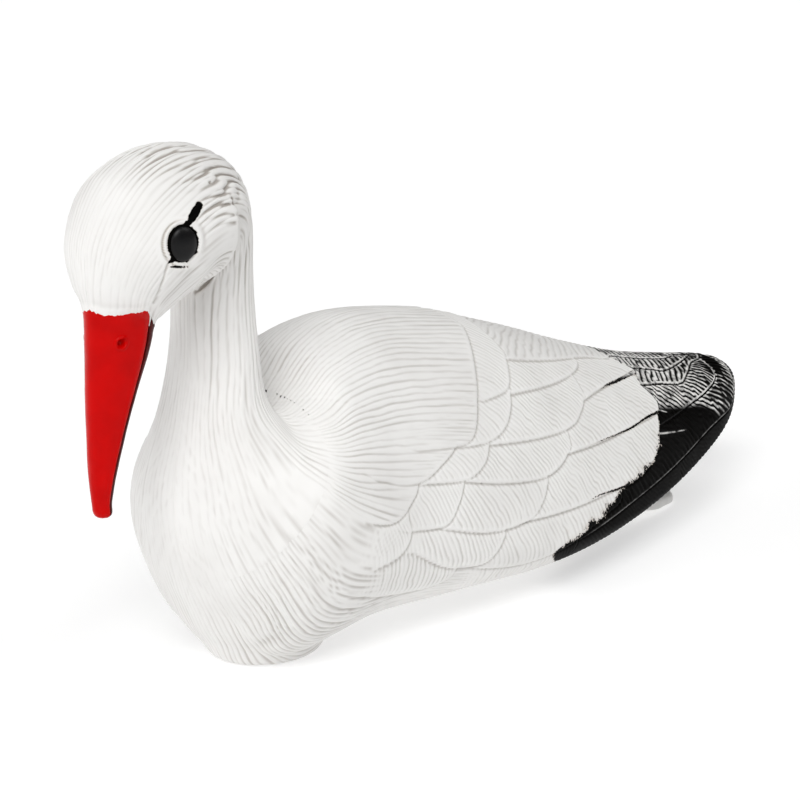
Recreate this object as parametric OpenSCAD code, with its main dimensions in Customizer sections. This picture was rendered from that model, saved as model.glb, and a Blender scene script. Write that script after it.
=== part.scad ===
// White stork decoy: a hollow moulded bird in two halves, with a plugged-in bill, eyes and tail.
// The bird looks along -Y, +Z is up and its left side is +X. The origin is the middle of the
// flat belly boss that it sits on. All sizes are in millimetres.

/* [Body] */
// Overall length, from the front of the bill to the wing tips
overall_length = 600; // [540:5:660]
// Wall thickness of the moulded shells
wall = 3; // [2.4:0.2:4]
// Rings between two neighbouring stations of the body's shape
ring_steps = 3; // [2:1:4]
// Flat steps around half of a ring
half_steps = 18; // [12:2:24]

/* [Belly boss and leg sockets] */
// Half width of the flat boss under the belly
boss_half_width = 27; // [26:1:30]
// Half length of the flat boss under the belly
boss_half_length = 31; // [29:1:34]
// Height of the solid boss inside the shells
boss_height = 16; // [14:1:20]
// Width of the leg block across the body
block_width = 40; // [38:1:42]
// Length of the leg block along the body
block_length = 26; // [22:1:30]
// Height of the leg block
block_height = 52; // [46:1:60]
// Radius of each leg socket
socket_radius = 4.1; // [3:0.1:5]
// Depth of each leg socket
socket_depth = 45; // [36:1:45]
// Distance between the two leg sockets
socket_spacing = 22; // [18:1:24]

/* [Seam pegs] */
// Radius of the locating pegs along the seam
peg_radius = 2; // [1.5:0.1:2.2]
// Length of a peg that stands out of the left shell
peg_length = 5; // [3:0.5:6]
// Radius of the boss around each peg and each peg hole
peg_boss_radius = 4.5; // [4.5:0.1:5]

/* [Eyes] */
// Radius of an eye's round rim
eye_radius = 7.8; // [6:0.2:9]
// How far an eye's dome stands above its rim
eye_dome = 3.6; // [3:0.2:4.6]
// Radius of the stem behind an eye
eye_stem_radius = 2.5; // [2:0.1:3]

/* [Bill] */
// Gap between the upper and the lower bill, as a part of the bill's depth
mouth_gap = 0.035; // [0.02:0.005:0.05]
// Length of the bill's spigot inside the head
spigot_length = 9; // [6:0.5:10]

/* [Tail] */
// Half width of the tail at its root
tail_half_width = 34; // [30:1:38]
// How far back the tail reaches
tail_end = 385; // [380:1:390]

/* [Hidden] */
k = overall_length / 600;
fit_gap = 0.15;

// The bird is one lofted form. Each station is a ring through a point of the back line and a
// point of the belly line: back y, back z, belly y, belly z, half width, place of the widest
// line between the two. They run from the wing tips, over the back and up the neck, to the bill.
BODY = k * [
    [463,  63,  458,  59,  3,   0.60 / k],
    [447,  77,  438,  55, 26,   0.75 / k],
    [404,  86,  398,  41, 47,   0.80 / k],
    [343, 100,  336,  24, 61,   0.82 / k],
    [270, 123,  264,  11, 73,   0.82 / k],
    [201, 147,  193,   4, 80,   0.80 / k],
    [129, 168,  112,   6, 81,   0.75 / k],
    [ 64, 178,   41,   7, 76,   0.65 / k],
    [ 23, 170,  -25,   2, 75,   0.50 / k],
    [  4, 153,  -55,  40, 70,   0.45 / k],
    [ -7, 142,  -71,  79, 56,   0.40 / k],
    [-13, 143,  -72, 111, 43,   0.40 / k],
    [-16, 158,  -67, 140, 31,   0.50 / k],
    [-19, 184,  -60, 171, 26,   0.50 / k],
    [-21, 217,  -59, 200, 24,   0.50 / k],
    [-26, 257,  -59, 217, 28,   0.50 / k],
    [-43, 283,  -64, 221, 36,   0.50 / k],
    [-75, 291,  -73, 220, 42,   0.50 / k],
    [-110, 279, -79, 214, 41,   0.50 / k],
    [-131, 253, -84, 209, 32,   0.50 / k],
    [-134, 230, -88, 205, 23,   0.50 / k],
    [-131, 214, -90, 202, 18.5, 0.50 / k]
];
BILL = k * [
    [-131, 214,   -90,    202, 18.5, 0.55 / k],
    [-132, 194,   -94,    190, 18,   0.55 / k],
    [-133, 166,   -106,   165, 13.8, 0.55 / k],
    [-133, 132,   -117,   131,  9,   0.55 / k],
    [-132, 115,   -119.5, 115,  6.3, 0.55 / k],
    [-130, 108,   -122,   108,  4.5, 0.55 / k],
    [-127, 105.5, -125, 105.5,  1,   0.55 / k]
];

// The hollow starts this many stations in from the wing tips, where the form is deep enough.
hollow_start = 1.67;
// Where the eye's centre lies on the form: along the stations, and the angle around the ring.
eye_station = 18.28;
eye_angle = 12.5;
// Locating pegs: station along the form, and 1 on the back line or -1 on the belly line.
PEGS = [[3, 1], [5, 1], [7, 1], [12, 1], [15, 1], [17, 1], [5, -1], [10, -1], [13, -1]];
peg_inset = 7;

// ---- The form ----

// Catmull-Rom value of a table of stations at place u.
function station(T, u) =
    let (n = len(T),
         i = min(max(floor(u), 0), n - 2),
         t = u - i,
         a = i > 0 ? T[i - 1] : 2 * T[0] - T[1],
         b = T[i],
         c = T[i + 1],
         d = i + 2 < n ? T[i + 2] : 2 * T[n - 1] - T[n - 2])
    0.5 * (2 * b + (c - a) * t + (2 * a - 5 * b + 4 * c - d) * t * t
           + (3 * b - 3 * c + d - a) * t * t * t);

function back_point(s) = [0, s[0], s[1]];
function belly_point(s) = [0, s[2], s[3]];

// The same ring, drawn in on all sides by d.
function inset(s, d) =
    let (run = belly_point(s) - back_point(s),
         way = run / norm(run))
    [s[0] + d * way[1], s[1] + d * way[2], s[2] - d * way[1], s[3] - d * way[2], s[4] - d, s[5]];

// Point of a ring at an angle: 90 is the back, 0 the left side and -90 the belly.
function ring_point(s, angle) =
    let (edge = back_point(s) + s[5] * (belly_point(s) - back_point(s)),
         reach = angle >= 0 ? back_point(s) - edge : belly_point(s) - edge)
    edge + reach * abs(sin(angle)) + [s[4] * cos(angle), 0, 0];

// The left half of a ring, from the back line round to the belly line.
function half_ring(s, steps) = [for (j = [0:steps]) ring_point(s, 90 - 180 * j / steps)];

function surface_point(u, angle) = ring_point(station(BODY, u), angle);

// Outward direction of the form at a place on it.
function surface_normal(u, angle) =
    let (across = surface_point(u, angle + 2) - surface_point(u, angle - 2),
         along = surface_point(u + 0.05, angle) - surface_point(u - 0.05, angle),
         n = cross(across, along))
    n / norm(n);

// ---- Faces of a closed net ----

// Two triangles for the four corners a, b, c, d of a net, given in order around it.
function quad(a, b, c, d) = [[a, b, c], [a, c, d]];

// Left half of a hollow form. Its rim on the centre plane is flat, and its last ring is open.
module half_hollow(T, thick, start, per, steps) {
    first = round(start * per);
    last = (len(T) - 1) * per;
    m = steps + 1;
    hollow = last - first;
    base = (last + 1) * m;
    outer = [for (i = [0:last]) each half_ring(station(T, i / per), steps)];
    inner = [for (i = [first:last]) each half_ring(inset(station(T, i / per), thick), steps)];
    function o(i, j) = i * m + j;
    function n(i, j) = base + max(i - first, 0) * m + j;
    walls = [
        for (i = [0:last - 1], j = [0:steps - 1])
            each quad(o(i, j), o(i, j + 1), o(i + 1, j + 1), o(i + 1, j)),
        for (i = [first:last - 1], j = [0:steps - 1])
            each quad(n(i, j), n(i + 1, j), n(i + 1, j + 1), n(i, j + 1))
    ];
    // Both edges of the rim: fans where the form is still solid, strips along the hollow.
    rims = [
        for (i = [0:first - 1])
            each [[o(i, 0), o(i + 1, 0), n(first, 0)],
                  [o(i, steps), n(first, steps), o(i + 1, steps)]],
        for (i = [first:last - 1])
            each concat(quad(o(i, 0), o(i + 1, 0), n(i + 1, 0), n(i, 0)),
                        quad(o(i, steps), n(i, steps), n(i + 1, steps), o(i + 1, steps)))
    ];
    ends = [
        [for (j = [steps:-1:0]) o(0, j)],
        [for (j = [0:steps]) n(first, j)],
        each quad(o(0, 0), n(first, 0), n(first, steps), o(0, steps)),
        for (j = [0:steps - 1])
            each quad(o(last, j), o(last, j + 1), n(last, j + 1), n(last, j))
    ];
    polyhedron(points = concat(outer, inner), faces = concat(walls, rims, ends));
}

// Solid form through a list of rings that all have the same number of points.
module solid_rings(rings) {
    m = len(rings[0]);
    last = len(rings) - 1;
    sides = [
        for (i = [0:last - 1], j = [0:m - 1])
            each quad(i * m + j, (i + 1) * m + j, (i + 1) * m + (j + 1) % m, i * m + (j + 1) % m)
    ];
    ends = [[for (j = [0:m - 1]) j], [for (j = [m - 1:-1:0]) last * m + j]];
    polyhedron(points = [for (r = rings) each r], faces = concat(sides, ends));
}

// ---- Shells ----

// Middle of a locating peg on the centre plane.
function peg_place(peg) =
    let (s = inset(station(BODY, peg[0]), peg_inset))
    peg[1] > 0 ? back_point(s) : belly_point(s);

module at_pegs() {
    for (peg = PEGS) translate(peg_place(peg)) rotate([0, 90, 0]) children();
}

// Flat oval pad under the belly, only its left half.
module half_boss() {
    intersection() {
        scale([boss_half_width / boss_half_length, 1, 1])
            cylinder(r = boss_half_length, h = boss_height, $fn = 72);
        translate([0, -boss_half_length - 1, -1])
            cube([boss_half_length, 2 * boss_half_length + 2, boss_height + 2]);
    }
}

module leg_block_body(grow) {
    translate([-block_width / 2 - grow, -block_length / 2 - grow, 0])
        cube([block_width + 2 * grow, block_length + 2 * grow, block_height + grow]);
}

// Puts children on the left side of the head, with their +Z along the eye's outward direction.
module at_left_eye() {
    p = surface_point(eye_station, eye_angle);
    n = surface_normal(eye_station, eye_angle);
    translate(p) rotate([0, acos(n[2]), atan2(n[1], n[0])]) children();
}

// Left half of the body with the openings that both halves share.
module half_shell() {
    difference() {
        union() {
            half_hollow(BODY, wall, hollow_start, ring_steps, half_steps);
            half_boss();
            at_pegs() cylinder(r = peg_boss_radius, h = peg_length + 3, $fn = 48);
        }
        translate([0, 0, -1]) leg_block_body(fit_gap);
        tail_body(fit_gap);
        at_left_eye() {
            translate([0, 0, -1.5]) cylinder(r = eye_radius + fit_gap, h = 20, $fn = 64);
            translate([0, 0, -12]) cylinder(r = eye_stem_radius + fit_gap, h = 12, $fn = 48);
        }
    }
}

module left_shell() {
    color("#f2f1ed") {
        half_shell();
        at_pegs() translate([0, 0, -peg_length]) cylinder(r = peg_radius, h = peg_length + 1, $fn = 48);
    }
}

module right_shell() {
    color("#eeede8") difference() {
        mirror([1, 0, 0]) half_shell();
        at_pegs() translate([0, 0, -peg_length - 0.5])
            cylinder(r = peg_radius + fit_gap, h = peg_length + 1.5, $fn = 48);
    }
}

// ---- Bill ----

// Half a ring of the bill: side 1 is the upper bill, and -1 the lower one.
function bill_ring(s, side, steps) =
    let (cut = s[5] + (side < 0 ? mouth_gap : 0),
         c = [s[0], s[1], s[2], s[3], s[4], cut])
    [for (j = [0:steps]) ring_point(c, side * 180 * j / steps)];

// The rings of the whole bill half, from inside the head to the tip.
function bill_rings(side, steps) =
    let (root = inset(BILL[0], wall + fit_gap),
         up = (BILL[0] - station(BILL, 0.5)) * 2,
         lift = spigot_length / norm([up[0], up[1], 0]),
         spigot = root + lift * [up[0], up[1], up[2], up[3], 0, 0],
         last = (len(BILL) - 1) * 3)
    [bill_ring(spigot, side, steps),
     bill_ring(root, side, steps),
     for (i = [0:last]) bill_ring(station(BILL, i / 3), side, steps)];

module upper_bill() {
    color("#c8161a") solid_rings(bill_rings(1, 20));
}

module lower_bill() {
    color("#a81015") solid_rings([for (r = bill_rings(-1, 16)) [for (j = [16:-1:0]) r[j]]]);
}

// ---- Eyes ----

module eye() {
    color("#0c0c0d") rotate_extrude($fn = 72) {
        difference() {
            scale([1, eye_dome / eye_radius]) circle(r = eye_radius, $fn = 64);
            translate([-2 * eye_radius, -4 * eye_radius]) square([2 * eye_radius, 8 * eye_radius]);
            translate([0, -4 * eye_radius]) square([2 * eye_radius, 4 * eye_radius]);
        }
        translate([0, -1.5]) square([eye_radius, 1.5]);
        translate([0, -10]) square([eye_stem_radius, 10]);
    }
}

module left_eye() {
    at_left_eye() eye();
}

module right_eye() {
    mirror([1, 0, 0]) at_left_eye() eye();
}

// ---- Tail and leg block ----

// Wedge with a round end: its profile from the side, cut by its outline from above.
module tail_body(grow) {
    root = tail_end - 107;
    taper = root + 30;
    tip_radius = 26;
    half = tail_half_width + grow;
    intersection() {
        rotate([90, 0, 90]) linear_extrude(2 * half, center = true)
            polygon([[root, 15 - grow], [root + 30, 6 - grow], [tail_end - 8, -grow],
                     [tail_end + grow, 3], [tail_end + grow, 7], [tail_end - 5, 11 + grow],
                     [root + 34, 34 + grow], [root, 34 + grow]]);
        linear_extrude(80) {
            translate([-half, root - 1]) square([2 * half, taper - root + 2]);
            polygon([[-half, taper], [half, taper], [tip_radius + grow, tail_end - tip_radius],
                     [-tip_radius - grow, tail_end - tip_radius]]);
            translate([0, tail_end - tip_radius]) circle(r = tip_radius + grow, $fn = 72);
        }
    }
}

module tail_fan() {
    color("#efeeea") tail_body(0);
}

module leg_block() {
    color("#d9d8d2") difference() {
        leg_block_body(0);
        for (side = [-1, 1]) translate([side * socket_spacing / 2, 0, -1])
            cylinder(r = socket_radius, h = socket_depth + 1, $fn = 64);
    }
}

left_shell();
right_shell();
upper_bill();
lower_bill();
left_eye();
right_eye();
tail_fan();
leg_block();
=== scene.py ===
"""White stork decoy: the finished look of a hollow moulded bird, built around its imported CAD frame.

The body is one lofted form, the same as the CAD shells. Its feather relief is real geometry: flow
grooves that run down the neck and over the body, and wing feathers that lie over each other with
their barbs. All lengths are in millimetres until a mesh is made, and meshes are in metres.
"""

import logging
import math
from dataclasses import dataclass, field
from enum import Enum

import bpy
import numpy as np
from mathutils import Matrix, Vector

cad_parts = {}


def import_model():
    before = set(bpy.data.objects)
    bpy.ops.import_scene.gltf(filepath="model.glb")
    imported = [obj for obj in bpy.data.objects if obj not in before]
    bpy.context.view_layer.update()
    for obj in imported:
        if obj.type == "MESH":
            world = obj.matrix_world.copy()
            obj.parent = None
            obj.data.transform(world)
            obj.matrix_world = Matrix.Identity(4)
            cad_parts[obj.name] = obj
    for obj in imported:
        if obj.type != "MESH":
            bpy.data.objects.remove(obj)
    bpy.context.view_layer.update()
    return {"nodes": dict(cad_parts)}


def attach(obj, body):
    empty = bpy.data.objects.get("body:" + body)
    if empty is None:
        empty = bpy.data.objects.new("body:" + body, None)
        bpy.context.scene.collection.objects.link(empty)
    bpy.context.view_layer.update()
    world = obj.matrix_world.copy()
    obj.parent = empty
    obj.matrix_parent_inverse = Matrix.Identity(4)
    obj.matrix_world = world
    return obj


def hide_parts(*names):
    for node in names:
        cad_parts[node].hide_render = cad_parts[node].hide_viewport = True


LOG = logging.getLogger("stork_decoy")
MM = 0.001
BODY = "root"


class Side(Enum):
    """The bird's own left and right."""

    LEFT = 1
    RIGHT = -1

    @property
    def word(self) -> str:
        """The side's name in lower case."""
        return self.name.lower()


# ---------------------------------------------------------------- numbers and noise


def smoothstep(low: float, high: float, x: np.ndarray) -> np.ndarray:
    """Smooth rise from 0 at low to 1 at high."""
    t = np.clip((x - low) / (high - low), 0.0, 1.0)
    return t * t * (3.0 - 2.0 * t)


def bell(x: np.ndarray, width: float) -> np.ndarray:
    """Smooth bump of height 1 and the given half width, centred on 0."""
    return np.exp(-((x / width) ** 2))


def window(x: np.ndarray, fade_in: tuple, fade_out: tuple) -> np.ndarray:
    """1 between two soft ends and 0 outside them."""
    return smoothstep(*fade_in, x) * smoothstep(fade_out[1], fade_out[0], x)


class Noise:
    """Smooth repeatable value noise on a plane, from -1 to 1."""

    def __init__(self, seed: int, size: int = 256) -> None:
        """Fills the noise table.

        Args:
            seed: The seed of the random table.
            size: The number of cells before the pattern repeats.
        """
        self.size = size
        self.table = np.random.default_rng(seed).random((size, size)) * 2.0 - 1.0

    def at(self, x: np.ndarray, y: np.ndarray) -> np.ndarray:
        """Noise at places on the plane.

        Args:
            x: First coordinates, in cells.
            y: Second coordinates, in cells.

        Returns:
            One value for each place.
        """
        x, y = np.broadcast_arrays(x, y)
        xi, yi = np.floor(x), np.floor(y)
        fx, fy = x - xi, y - yi
        fx, fy = fx * fx * (3 - 2 * fx), fy * fy * (3 - 2 * fy)
        x0, y0 = xi.astype(int) % self.size, yi.astype(int) % self.size
        x1, y1 = (x0 + 1) % self.size, (y0 + 1) % self.size
        low = self.table[x0, y0] * (1 - fx) + self.table[x1, y0] * fx
        high = self.table[x0, y1] * (1 - fx) + self.table[x1, y1] * fx
        return low * (1 - fy) + high * fy


def catmull_rom(table: np.ndarray, u: np.ndarray) -> np.ndarray:
    """Catmull-Rom values of a table's rows.

    Args:
        table: One row of numbers for each station.
        u: Places along the stations, from 0 to the number of rows less one.

    Returns:
        One row for each place.
    """
    padded = np.vstack([2 * table[0] - table[1], table, 2 * table[-1] - table[-2]])
    i = np.clip(np.floor(u).astype(int), 0, len(table) - 2)
    t = (u - i)[:, None]
    a, b, c, d = padded[i], padded[i + 1], padded[i + 2], padded[i + 3]
    return 0.5 * (2 * b + (c - a) * t + (2 * a - 5 * b + 4 * c - d) * t**2 + (3 * b - 3 * c + d - a) * t**3)


# ---------------------------------------------------------------- the form


@dataclass(frozen=True)
class LoftForm:
    """A form lofted through rings, each from a back point round to a belly point and back.

    Each row is: back y, back z, belly y, belly z, half width, place of the widest line.
    """

    rows: tuple

    @property
    def last(self) -> int:
        """The number of the last station."""
        return len(self.rows) - 1

    def stations(self, u: np.ndarray) -> np.ndarray:
        """Station rows at the places u."""
        return catmull_rom(np.array(self.rows, float), np.asarray(u, float))

    def grid(self, u: np.ndarray, angle: np.ndarray) -> np.ndarray:
        """Points of the form.

        Args:
            u: Places along the stations.
            angle: Degrees around each ring: 90 is the back, 0 the left side and -90 the belly.

        Returns:
            An array of points, one row for each place and one column for each angle.
        """
        back, belly, half_width, share = self.rings(u)
        edge = back + share * (belly - back)
        turn = np.radians(angle)
        reach = np.where(np.sin(turn)[None, :, None] >= 0, (back - edge)[:, None], (belly - edge)[:, None])
        points = edge[:, None] + reach * np.abs(np.sin(turn))[None, :, None]
        points[..., 0] += half_width * np.cos(turn)[None, :]
        return points

    def rings(self, u: np.ndarray) -> tuple:
        """What each ring is drawn from.

        Args:
            u: Places along the stations, in an array of any shape.

        Returns:
            Its back point, its belly point, its half width, and the share of the way down of its widest line.
        """
        u = np.asarray(u, float)
        s = self.stations(u.ravel()).reshape(*u.shape, 6)
        zero = np.zeros(u.shape)
        back = np.stack([zero, s[..., 0], s[..., 1]], -1)
        belly = np.stack([zero, s[..., 2], s[..., 3]], -1)
        return back, belly, s[..., 4:5], s[..., 5:6]

    def centres(self, u: np.ndarray) -> np.ndarray:
        """Middle of each ring on the centre plane."""
        back, belly, _, share = self.rings(u)
        return back + share * (belly - back)

    def place(self, u: float, angle: float) -> np.ndarray:
        """One point of the form."""
        return self.grid(np.array([u]), np.array([angle]))[0, 0]

    def normal(self, u: float, angle: float) -> np.ndarray:
        """Outward direction of the form at one place.

        Args:
            u: Its station.
            angle: Its angle.

        Returns:
            A unit vector.
        """
        across = self.place(u, angle + 2) - self.place(u, angle - 2)
        along = self.place(u + 0.05, angle) - self.place(u - 0.05, angle)
        n = np.cross(across, along)
        return n / np.linalg.norm(n)


FORM = LoftForm(
    rows=(
        (463, 63, 458, 59, 3, 0.60),
        (447, 77, 438, 55, 26, 0.75),
        (404, 86, 398, 41, 47, 0.80),
        (343, 100, 336, 24, 61, 0.82),
        (270, 123, 264, 11, 73, 0.82),
        (201, 147, 193, 4, 80, 0.80),
        (129, 168, 112, 6, 81, 0.75),
        (64, 178, 41, 7, 76, 0.65),
        (23, 170, -25, 2, 75, 0.50),
        (4, 153, -55, 40, 70, 0.45),
        (-7, 142, -71, 79, 56, 0.40),
        (-13, 143, -72, 111, 43, 0.40),
        (-16, 158, -67, 140, 31, 0.50),
        (-19, 184, -60, 171, 26, 0.50),
        (-21, 217, -59, 200, 24, 0.50),
        (-26, 257, -59, 217, 28, 0.50),
        (-43, 283, -64, 221, 36, 0.50),
        (-75, 291, -73, 220, 42, 0.50),
        (-110, 279, -79, 214, 41, 0.50),
        (-131, 253, -84, 209, 32, 0.50),
        (-134, 230, -88, 205, 23, 0.50),
        (-131.5, 214, -93, 202, 15.5, 0.68),
        (-131, 194, -98, 190, 14.5, 0.69),
        (-132, 166, -109, 165, 11.7, 0.70),
        (-132, 132, -119, 131, 7.6, 0.58),
        (-131.5, 115, -121.5, 115, 4.9, 0.56),
        (-130, 108, -122, 108, 4.5, 0.55),
        (-127, 105.5, -125, 105.5, 1, 0.55),
    )
)
BILL_BASE_RING = 19.9
EYE_STATION = 18.28
EYE_ANGLE = 12.5
# Where the red paint begins around the bill's base, as (angle, station)
PAINT_EDGE = (
    (-90, 21.1), (-45, 21.08), (-14, 20.95), (-3, 20.7), (3, 20.3), (20, 20.6), (45, 20.9), (62, 20.99),
    (90, 20.93),
)
# The hind edge of the cheek, which stands over the neck, as (angle, station)
CHEEK_EDGE = (
    (-90, 14.6), (-76, 14.73), (-60, 15.08), (-49, 15.68), (-36, 16.03), (-22, 16.4), (-7.5, 16.62),
    (12, 16.72), (30, 16.8),
)
# Marks around the eye, from start to end, in millimetres ahead of its middle and above it
BROW = ((-1.6, 8.0), (-11.2, 17.4))
FRONT_CORNER = ((3.5, -5.5), (7.7, -9.3))
TOP_PEAK = ((-1.0, 6.0), (-2.2, 10.2))
CREASES = (((7.9, -9.9), (10.2, -21.0)), ((10.2, -21.0), (12.4, -31.0)))
DASH = ((6.6, -11.3), (-3.4, -12.3))
PINHOLE_STATION = 17.1
PINHOLE_ANGLE = 36
# Stretches of the bird, by station: where each fades in, and where it fades out
FLANK = ((6.8, 7.6), (8.6, 9.8))
LOW_FLANK = ((6.6, 7.4), (8.6, 9.8))
BREAST = ((7.6, 8.6), (14, 15.5))
NECK_FOOT = ((8.4, 9.4), (11.4, 12.6))
NECK_BACK = ((11.0, 12.5), (15.0, 16.0))
NAPE = ((14.0, 15.2), (17.0, 18.2))
NAPE_FOLDS = ((14.2, 15.2), (17.0, 17.9))
# On the nape the grooves are darker still: dirt in the creases, and painted shade
NAPE_DIRT_AND_SHADE = ((13.0, 15.2), (17.2, 18.4))
# The wing ends before the first of these stations, and the head's own marks begin after the second
WING_END = 9.5
HEAD_START = 14.5
DENT_STATION = 8.33
DENT_ANGLE = -64


@dataclass(frozen=True)
class Net:
    """A net of places on the bird's surface, one row for each station and one column for each angle."""

    u: np.ndarray
    angle: np.ndarray
    points: np.ndarray
    along: np.ndarray
    girth: np.ndarray
    across_scale: np.ndarray
    along_scale: np.ndarray

    @property
    def y(self) -> np.ndarray:
        """Place along the bird."""
        return self.points[..., 1]


@dataclass(frozen=True)
class Chart:
    """Lengths over the bird's surface, measured once on an even net and read back anywhere."""

    form: LoftForm
    u: np.ndarray
    angle: np.ndarray
    along: np.ndarray
    around: np.ndarray
    across_scale: np.ndarray
    along_scale: np.ndarray

    @classmethod
    def of(cls, form: LoftForm) -> "Chart":
        """Measures a form.

        Args:
            form: The lofted form.

        Returns:
            The chart of its lengths.
        """
        u = np.linspace(0, form.last, form.last * 24 + 1)
        angle = np.linspace(-90, 90, 181)
        widest = 90
        p = form.grid(u, angle)
        du = np.linalg.norm(np.diff(p, axis=0), axis=-1)
        along = np.vstack([np.zeros(len(angle)), np.cumsum(du, axis=0)])
        da = np.linalg.norm(np.diff(p, axis=1), axis=-1)
        around = np.hstack([np.zeros((len(u), 1)), np.cumsum(da, axis=1)])
        around -= around[:, widest : widest + 1]
        across_scale = np.gradient(around, angle, axis=1)
        return cls(form, u, angle, along, around, across_scale, np.gradient(along, u, axis=0))

    def read(self, values: np.ndarray, u: np.ndarray, angle: np.ndarray) -> np.ndarray:
        """Values of a measured length at a net of places, read between the chart's points.

        Args:
            values: The measured values.
            u: Stations of the net's rows.
            angle: Angles of its columns.

        Returns:
            One value for each place of the net.
        """
        fu = np.interp(u, self.u, np.arange(len(self.u)))
        fa = np.interp(angle, self.angle, np.arange(len(self.angle)))
        i = np.clip(fu.astype(int), 0, len(self.u) - 2)
        j = np.clip(fa.astype(int), 0, len(self.angle) - 2)
        tu, ta = (fu - i)[:, None], (fa - j)[None, :]
        low = values[np.ix_(i, j)] * (1 - ta) + values[np.ix_(i, j + 1)] * ta
        high = values[np.ix_(i + 1, j)] * (1 - ta) + values[np.ix_(i + 1, j + 1)] * ta
        return low * (1 - tu) + high * tu

    def net(self, u: np.ndarray, angle: np.ndarray) -> Net:
        """A net of places with everything that the chart says of them.

        Args:
            u: Stations of the net's rows.
            angle: Angles of its columns.

        Returns:
            The net.
        """
        lengths = (self.along, self.around, self.across_scale, self.along_scale)
        uu, aa = np.broadcast_arrays(u[:, None], angle[None, :])
        return Net(uu, aa, self.form.grid(u, angle), *(self.read(values, u, angle) for values in lengths))


# ---------------------------------------------------------------- feathers


@dataclass(frozen=True)
class Feather:
    """One wing feather, drawn by its visible edge on the wing's flat chart.

    The edge runs from the tip's upper end down and forward, as (y, girth) points in millimetres.
    The feather lies above and in front of its edge.
    """

    edge: tuple
    height: float = 1.3
    barb_angle: float = -37.0
    barb_pitch: float = 2.9
    barb_depth: float = 0.44


# From the wing tip forward and from the lower edge up, so that each feather covers those before it.
FEATHERS = (
    # the long black primaries
    Feather(
        ((458, -8), (432, -22), (380, -34), (300, -42), (230, -41), (170, -34), (96, -37)),
        1.2, -34.0, 2.8, 0.34,
    ),
    Feather(
        ((446, 26), (428, 9), (408, 6), (382, 10), (350, 12), (273, 9), (229, 5), (180, -3), (150, -8)),
        1.1, -40.0, 3.4, 0.62,
    ),
    Feather(((420, 46), (410, 30), (381, 31), (352, 35), (320, 38), (296, 40)), 1.2, -38.0, 3.2, 0.55),
    Feather(
        ((440, 44), (419, 45), (400, 50), (375, 49), (357, 49), (331, 59), (300, 68), (270, 74)),
        1.1, 16.0, 4.2, 0.62,
    ),
    Feather(((440, 50), (418, 53), (357, 62), (337, 70), (316, 78), (290, 86)), 1.1, 25.0, 4.6, 0.62),
    # the long secondaries, white with tips in the black
    Feather(((184, -12), (174, -25), (149, -32), (96, -36)), 0.9, -58.0, 3.3, 0.44),
    Feather(
        ((236, 20), (233, 12), (215, 8), (187, 0), (165, -8), (134, -15), (95, -16)),
        0.9, -52.0, 3.3, 0.42,
    ),
    Feather(
        ((303, 47), (297, 37), (290, 28), (270, 21), (245, 19), (214, 20), (136, 13), (96, 8)),
        1.0, -40.0,
    ),
    Feather(((300, 69), (307, 59), (309, 51), (300, 47), (257, 50), (184, 49), (140, 40)), 1.1, -37.0),
    Feather(
        ((284, 95), (297, 88), (309, 79), (308, 75), (291, 77), (257, 79), (223, 77), (190, 70)),
        1.2, -35.0,
    ),
    # the medium coverts
    Feather(((76, -16), (72, -27), (51, -36), (8, -40)), 0.9, -66.0, 3.5, 0.52),
    Feather(((112, 5), (105, -5), (95, -13), (68, -17), (38, -11)), 0.9, -56.0, 3.4, 0.46),
    Feather(((157, 35), (149, 23), (134, 13), (97, 6), (60, 5)), 0.9, -46.0, 3.4, 0.42),
    Feather(((188, 60), (184, 50), (154, 37), (83, 33), (50, 30)), 1.0, -39.0),
    Feather(((223, 79), (211, 71), (189, 63), (115, 56), (80, 52)), 1.0, -36.0),
    Feather(((243, 106), (241, 99), (222, 94), (154, 87), (118, 82)), 1.0, -32.0),
    # the tertials along the back
    Feather(
        ((440, 62), (387, 66), (344, 81), (305, 94), (288, 94), (250, 103), (158, 109), (110, 108)),
        1.1, 25.0, 4.6, 0.5,
    ),
    # the small coverts
    Feather(((31, 7), (33, -1), (25, -13), (6, -23)), 0.9, -46.0, 3.2, 0.36),
    Feather(((81, 33), (74, 20), (62, 7), (33, 1)), 0.9, -42.0, 3.2, 0.34),
    Feather(((108, 55), (100, 44), (82, 34), (43, 27)), 1.0, -36.0, 3.2, 0.34),
    Feather(((146, 90), (139, 78), (127, 66), (108, 57), (78, 51)), 1.0, -30.0, 3.2, 0.34),
    Feather(((162, 114), (155, 102), (143, 89), (116, 81)), 1.0, -26.0, 3.2, 0.34),
)
# The scapulars, whose grooves are those of the body
SCAPULARS = (
    Feather(((43, 28), (37, 19), (20, 5), (-6, -1)), 0.9),
    Feather(((80, 52), (67, 42), (43, 28), (8, 24)), 1.0),
    Feather(((144, 134), (126, 107), (111, 82), (97, 60), (80, 52), (48, 46)), 1.2),
)
LOWEST_PRIMARY, LINED_PRIMARY = FEATHERS[:2]
# Where the black of the wing tips begins: it lies behind this edge
BLACK_EDGE = (
    (294, 108), (297, 94), (306, 84), (309, 76), (303, 68), (307, 59), (309, 50), (302, 44), (294, 33),
    (286, 25), (268, 21), (246, 19), (235, 17), (226, 12), (203, 6), (191, 1), (175, -3), (163, -8),
    (172, -16), (184, -28), (200, -50),
)
# Dark cracks between the white feathers, where the black has run in: path and half width
CRACKS = (
    (((309, 76), (291, 77), (273, 78), (257, 79), (234, 78)), 1.3),
    (((304, 47), (284, 49), (262, 49), (248, 50), (221, 51), (186, 50)), 0.85),
    (((246, 19), (228, 20), (210, 21), (190, 19)), 0.8),
)
# Two short pale strokes on the black, painted glints where it is also rubbed off: start and end
GLINTS = (((298, 35), (333, 25)), ((303, 50), (315, 43)))
# Above this line the black is thin on the barbs, and their ridges are painted pale, as rubbed paint and as a
# painted highlight
WEAR_AND_SHEEN_EDGE = (
    (470, -12), (425, 2), (408, 6), (385, 12), (366, 27), (350, 34), (335, 39), (318, 45), (303, 50),
    (270, 60),
)


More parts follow.
